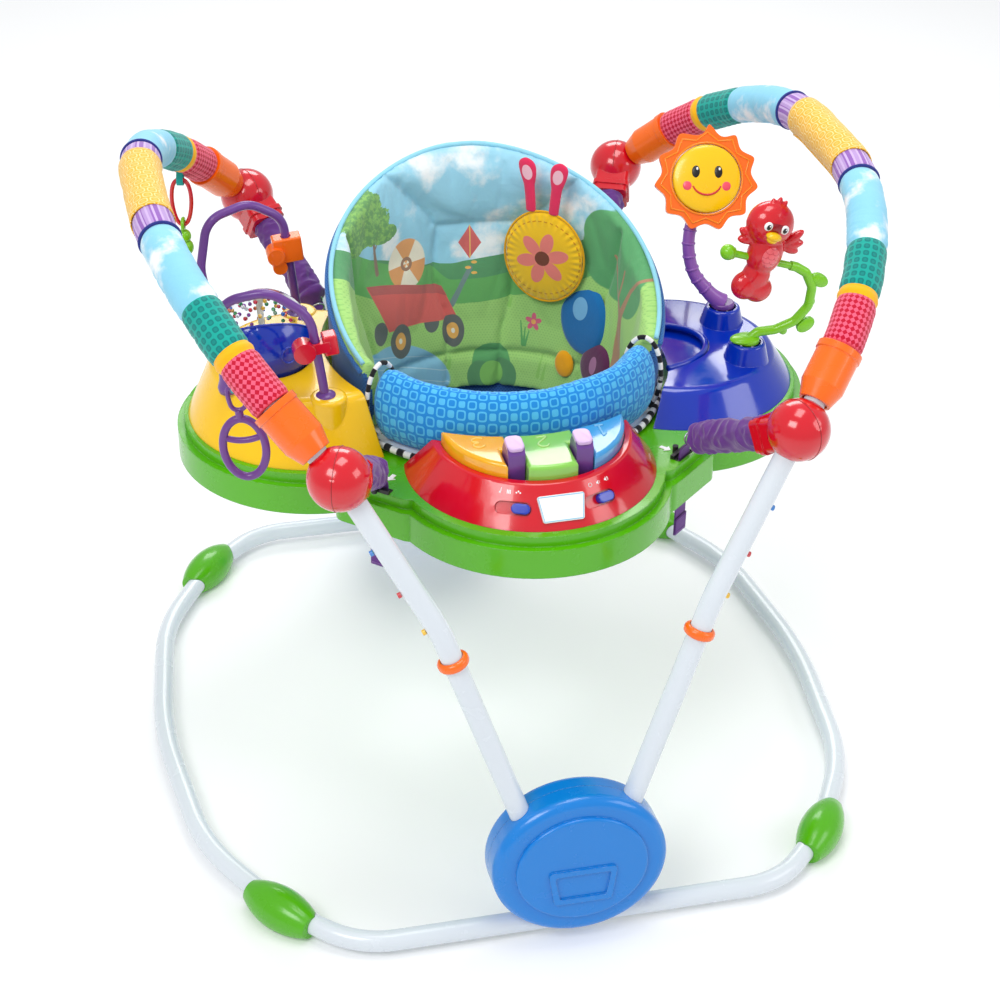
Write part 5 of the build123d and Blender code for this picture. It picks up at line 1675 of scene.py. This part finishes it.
def teether():
    """Soft oval ring with a webbed neck, on its own small link."""
    at, mat, body = toy_plane(-1, -1, 5.0), MAT["teether"], "teether"
    link = [(-0.0090, 0.0004, 0), (0.0090, 0.0004, 0), (0.0100, -0.012, 0), (0.0072, -0.0285, 0),
            (-0.0072, -0.0285, 0), (-0.0100, -0.012, 0)]
    toy_ring("teether_link", at, link, 0.0026, mat, body)
    oval = [(0.0236 * math.sin(a), -0.0760 - 0.0370 * math.cos(a), 0) for a in full_turn(20)]
    ring = toy_ring("teether_ring", at, oval, 0.0046, mat, body)
    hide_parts("teether")
    local_tube("teether_neck", at, [(0, -0.0285, 0), (0, -0.0340, 0), (0, -0.0410, 0)], 0.0046, mat, body,
               20, 4)
    bar = [(-0.0212, -0.0620, 0), (-0.0100, -0.0655, 0), (0.0, -0.0665, 0), (0.0100, -0.0655, 0),
           (0.0212, -0.0620, 0)]
    local_tube("teether_bar", at, bar, 0.0036, mat, body, 16, 6)


def bead_loops():
    """Flared feet of the bead loops; those on the slider legs are short, clear of the sliders."""
    short = [(0.0125, -0.006), (0.0125, 0.0), (0.0108, 0.0016), (0.0076, 0.0034), (0.0058, 0.0044)]
    tall = [(0.0125, -0.006), (0.0125, 0.0), (0.0112, 0.003), (0.0084, 0.010), (0.0068, 0.019),
            (0.0058, 0.028)]
    feet = (((-0.228, -0.112, 0.540), (-0.246, -0.1085, 0.672), 0.568, short),
            ((-0.228, 0.112, 0.540), (-0.246, 0.104, 0.700), 0.568, short),
            ((-0.336, -0.058, 0.545), (-0.352, -0.072, 0.630), 0.566, tall),
            ((-0.336, 0.058, 0.545), (-0.352, 0.074, 0.655), 0.566, tall))
    for i, (low, high, z, profile) in enumerate(feet):
        run = Vector(high) - Vector(low)
        at = basis(Vector(low) + run * ((z - low[2]) / run.z), run, (1, 0, 0))
        lathe("loop_foot_%d" % i, profile, MAT["purple"], "tray", at, 36)


def corner_balls():
    """Seam line round each ball."""
    dark = plastic("ball_seam", srgb(168, 8, 26), 0.35, 0.2)
    r = 0.0358
    for name, sx, sy in CORNERS:
        ball, _, aim = corner_line(sx, sy)
        at = basis(ball, (aim[1], -aim[0], 0), aim)
        loop = [(r * math.cos(a), r * math.sin(a), 0.0)
                for a in np.linspace(math.radians(50), math.radians(310), 80)[::4]]
        local_tube("ball_seam_" + name, at, loop, 0.00045, dark, "frame", 8, 6)


# ---------------------------------------------------------------- piano, tray and hub details
def bar_outline(w, h):
    """Rounded rectangle outline."""
    r, n = min(w, h) * 0.35, 6
    out = []
    for i, (sx, sy) in enumerate(((1, 1), (-1, 1), (-1, -1), (1, -1))):
        for k in range(n + 1):
            a = math.radians(90 * i + 90 * k / n)
            out.append((sx * (w / 2 - r) + r * math.cos(a), sy * (h / 2 - r) + r * math.sin(a)))
    return out


PIANO_MID = Vector((0.0, -0.187, 0.0))
FACE_LEAN = math.atan2(0.150 - 0.118, 0.534 - 0.490)


def piano_face(bearing, z, lift=0.0):
    """Frame on the sloped front of the piano: X along it, Y up it, Z out of it."""
    share = (z - 0.490) / (0.534 - 0.490)
    r = 0.150 + (0.118 - 0.150) * share
    a = math.radians(-90 + bearing)
    out = Vector((math.cos(a) * math.cos(FACE_LEAN), math.sin(a) * math.cos(FACE_LEAN), math.sin(FACE_LEAN)))
    at = PIANO_MID + Vector((r * math.cos(a), r * math.sin(a), z)) + out * lift
    return basis(at, out, (-math.sin(a), math.cos(a), 0))


def box_outline(x0, y0, x1, y1):
    return [(x0, y0), (x1, y0), (x1, y1), (x0, y1)]


def piano_details():
    """Border of the blank badge, and the printed symbols by the two switches."""
    badge = piano_face(1.5, 0.511, 0.0014)
    edge = [(-0.0268, 0.0140), (-0.0228, -0.0140), (0.0228, -0.0140), (0.0268, 0.0140)]
    border = along_sides([badge @ Vector((x, y, 0.0)) for x, y in edge], 10)
    loop_piece("badge_border", border, 0.0007, MAT["trim_blue"], "tray", 8)
    white = MAT["icon"]

    def symbol(bearing):
        return piano_face(bearing, 0.526, 0.00005)

    def icon(name, outline, bearing):
        plate("icon_" + name, outline, 0.0003, white, "tray", symbol(bearing), inset=0.00005)

    icon("note_stem", box_outline(0.0012, -0.002, 0.0018, 0.0034), -30.5)
    icon("note_head", circle(0.0011, 16, 0.0006, -0.002), -30.5)
    for i in range(3):
        x = 0.0018 * (i - 1)
        icon("bar_%d" % i, box_outline(x - 0.0006, -0.0026, x + 0.0006, 0.0020), -25.5)
    for i in range(3):
        icon("dot_%d" % i, circle(0.0010, 14, 0.0022 * (i - 1), -0.0006 + 0.0016 * (i % 2)), -20.5)
    loop_piece("icon_off", ring_line(symbol(19.0), 0.0022, 24, z=0.0002), 0.0003, white, "tray", 6)
    speaker = [(-0.0022, -0.0010), (-0.0010, -0.0010), (0.0006, -0.0026), (0.0006, 0.0026), (-0.0010, 0.0010),
               (-0.0022, 0.0010)]
    for name, bearing, waves in (("mid", 24.0, 1), ("high", 29.5, 2)):
        icon("speaker_" + name, speaker, bearing)
        for i in range(waves):
            arc = [(0.0012 + (0.0012 + 0.0010 * i) * math.cos(a), (0.0022 + 0.0008 * i) * math.sin(a), 0.0002)
                   for a in np.linspace(-0.9, 0.9, 6)]
            local_tube("icon_wave_%s_%d" % (name, i), symbol(bearing), arc, 0.00025, white, "tray", 6, 2)


def keys():
    """Raised numerals on the keys, read from the seat, and pale tops on the levers."""
    numerals = (
        ("key_left", "orange", (255, 204, 92), (-0.073, -0.228),
         [[(-6, 8), (0, 11), (6, 8), (6, 3), (0, 0), (6, -3), (6, -8), (0, -11), (-6, -8)]]),
        ("key_middle", "green", (184, 226, 140), (0.000, -0.240),
         [[(-6, 7), (-3, 11), (3, 11), (6, 7), (5, 2), (-6, -10), (6, -10)]]),
        ("key_right", "blue", (126, 194, 236), (0.073, -0.228),
         [[(-4, 8), (0, 11), (0, -11)], [(-5, -11), (5, -11)]]))
    for name, colour, rgb, (x, y), runs in numerals:
        pale = plastic("numeral_" + colour, srgb(*rgb), 0.25, 0.4, bevel=0.0003)
        at = basis((x, y, 0.5510), (0, 0, 1), (-1, 0, 0))
        for i, run in enumerate(runs):
            pts = [(0.001 * a, 0.001 * b, 0.0002) for a, b in run]
            local_tube("%s_numeral_%d" % (name, i), at, pts, 0.0013, pale, name, 10, 6)
    for name, sx in (("lever_left", -1), ("lever_right", 1)):
        at = basis((sx * 0.040, -0.2652, 0.5655), (0, -0.12, 1), (1, 0, 0))
        cap = plate(name + "_cap", bar_outline(0.0205, 0.0265), 0.0042, MAT["lilac"], name, at, crown=0.0012,
                    inset=0.0014)


def tray_details():
    """Moulded arrows by the strap slots and dark slot rims."""
    head = [(0.0010, -0.0065), (0.0075, 0.0), (0.0010, 0.0065)]
    arrow = [(-0.0070, -0.0026), (0.0010, -0.0026)] + head + [(0.0010, 0.0026), (-0.0070, 0.0026)]
    for name, sx, sy in CORNERS:
        outward = Vector(slot_directions(sx, sy)[1])
        at = basis(Vector((sx * HOOK[0], sy * HOOK[1], 0.4902)) - outward * 0.0260, (0, 0, 1), outward)
        plate("tray_arrow_" + name, arrow, 0.0008, MAT["icon"], "tray", at, inset=0.0001)
        slot_at = basis((sx * HOOK[0], sy * HOOK[1], 0.4901), (0, 0, 1), outward)
        rim = [slot_at @ Vector((x, y, 0)) for x, y in box_outline(0.0032, 0.0155, -0.0032, -0.0155)]
        loop_piece("slot_rim_" + name, along_sides(rim, 8), 0.0010, MAT["black"], "tray", 8)


def station_details():
    """Dark rings painted as the shadow in the gap round each toy socket, and the ridge round the blue
    station's dish.
    """
    # Navy rings of painted shadow in the gaps round the stalk sockets.
    dark = plastic("socket_shadow", srgb(4, 26, 96), 0.4, 0.2)
    for name, x, y in (("sun", 0.310, 0.042), ("vine", 0.310, -0.057)):
        ring = ring_line(Matrix.Translation((x, y, 0.5515)), 0.0172, 60)
        loop_piece("socket_ring_" + name, ring, 0.0012, dark, "tray", 8)
    ridge = [(0.205, 0.058), (0.235, 0.046), (0.262, 0.026), (0.272, -0.002), (0.262, -0.032),
             (0.236, -0.054),
             (0.205, -0.066)]
    path = smooth_path([(x, y, 0.5318) for x, y in ridge], 12)
    tube_piece("dish_ridge", path, 0.0040, MAT["royal"], "tray", 20)


springs()
sun()
bird()
vine()
globe()
bead_loops()
hanging_links()
teether()
corner_balls()
piano_details()
keys()
tray_details()
station_details()


# ---------------------------------------------------------------- finishes of the CAD nodes
FINISH = {
    "base_rail_front": "white", "base_rail_rear": "white", "base_rail_left": "white",
    "base_rail_right": "white", "lower_legs": "white", "upper_legs": "white",
    "arch_tube_left": "white", "arch_tube_right": "white",
    "floor_feet": "green", "hub_outer_shells": "blue", "hub_inner_shells": "blue",
    "leg_collars": "orange", "leg_pegs": "pegs", "corner_balls": "red", "arch_sleeves": "orange",
    "tray_top": "green", "tray_underside": "green", "battery_door": "green",
    "strap_hooks": "black", "seat_track": "white_plastic", "seat_ring": "white_plastic",
    "piano_housing": "red", "piano_badge": "white_plastic", "circuit_board": "board", "speaker": "black",
    "key_left": "key_orange", "key_middle": "key_green", "key_right": "key_blue",
    "lever_left": "purple", "lever_right": "purple", "mode_switch": "royal", "volume_switch": "royal",
    "bead_station": "yellow", "bead_loop_front": "purple", "bead_loop_rear": "purple",
    "globe_base": "royal", "globe_dome": "clear", "slider_red": "red", "slider_orange": "orange",
    "sun_station": "royal", "sun_stalk": "purple", "sun_ring": "orange", "sun_face": "yellow",
    "vine_stalk": "leaf", "bird": "bird_red", "teether": "teether", "link_red": "red",
    "pod_green": "leaf", "link_yellow": "yellow", "loop_green": "green", "bounce_springs": "steel",
}
for node, finish in FINISH.items():
    NODES[node].data.materials.clear()
    NODES[node].data.materials.append(MAT[finish])


# ---------------------------------------------------------------- floor, lights and camera
LIGHTS = (("key", (-2.2, -2.0, 3.4), 2.0, 64), ("fill", (2.8, -1.6, 2.2), 1.8, 22),
          ("rim", (0.6, 2.8, 2.6), 1.8, 36), ("top", (0.2, -0.2, 3.4), 1.6, 27))


def floor_and_lights():
    bpy.ops.mesh.primitive_plane_add(size=40, location=(0, 0, -0.0005))
    floor = bpy.context.object
    floor.name = "floor"
    t = Tree("studio_floor")
    t.set("Base Color", t.mix(t.noise(2.0), (0.86, 0.865, 0.87), (0.88, 0.885, 0.89)))
    t.set("Roughness", 0.42)
    t.set("Emission Color", (1.0, 1.0, 1.0, 1.0))
    t.set("Emission Strength", 0.12)
    t.set("Specular IOR Level", 0.35)
    floor.data.materials.append(t.mat)
    world = bpy.data.worlds.new("studio")
    bpy.context.scene.world = world
    world.use_nodes = True
    back = world.node_tree.nodes["Background"]
    back.inputs["Color"].default_value = (0.97, 0.985, 1.0, 1)
    back.inputs["Strength"].default_value = 0.60
    for name, place, size, power in LIGHTS:
        light = bpy.data.lights.new(name, "AREA")
        light.shape = "RECTANGLE"
        light.size = size
        light.size_y = size * 0.7
        light.energy = power
        lamp = bpy.data.objects.new(name, light)
        bpy.context.scene.collection.objects.link(lamp)
        lamp.location = place
        aim = Vector((0, 0, 0.45)) - Vector(place)
        lamp.rotation_euler = aim.to_track_quat("-Z", "Y").to_euler()


def camera():
    data = bpy.data.cameras.new("camera")
    data.lens = 77.646
    data.sensor_width = 36.0
    cam = bpy.data.objects.new("camera", data)
    bpy.context.scene.collection.objects.link(cam)
    turn, drop, roll = math.radians(-13.738), math.radians(32.047), math.radians(1.0785)
    forward = Vector((-math.sin(turn) * math.cos(drop), math.cos(turn) * math.cos(drop), -math.sin(drop)))
    right = forward.cross(Vector((0, 0, 1))).normalized()
    up = right.cross(forward)
    tilted_right = right * math.cos(roll) + up * math.sin(roll)
    tilted_up = up * math.cos(roll) - right * math.sin(roll)
    m = Matrix((tilted_right, tilted_up, -forward)).transposed().to_4x4()
    m.translation = Vector((-0.5554, -2.3106, 1.8123))
    cam.matrix_world = m
    bpy.context.scene.camera = cam


floor_and_lights()
camera()
bpy.context.scene.view_settings.view_transform = "Standard"
bpy.context.scene.view_settings.look = "None"
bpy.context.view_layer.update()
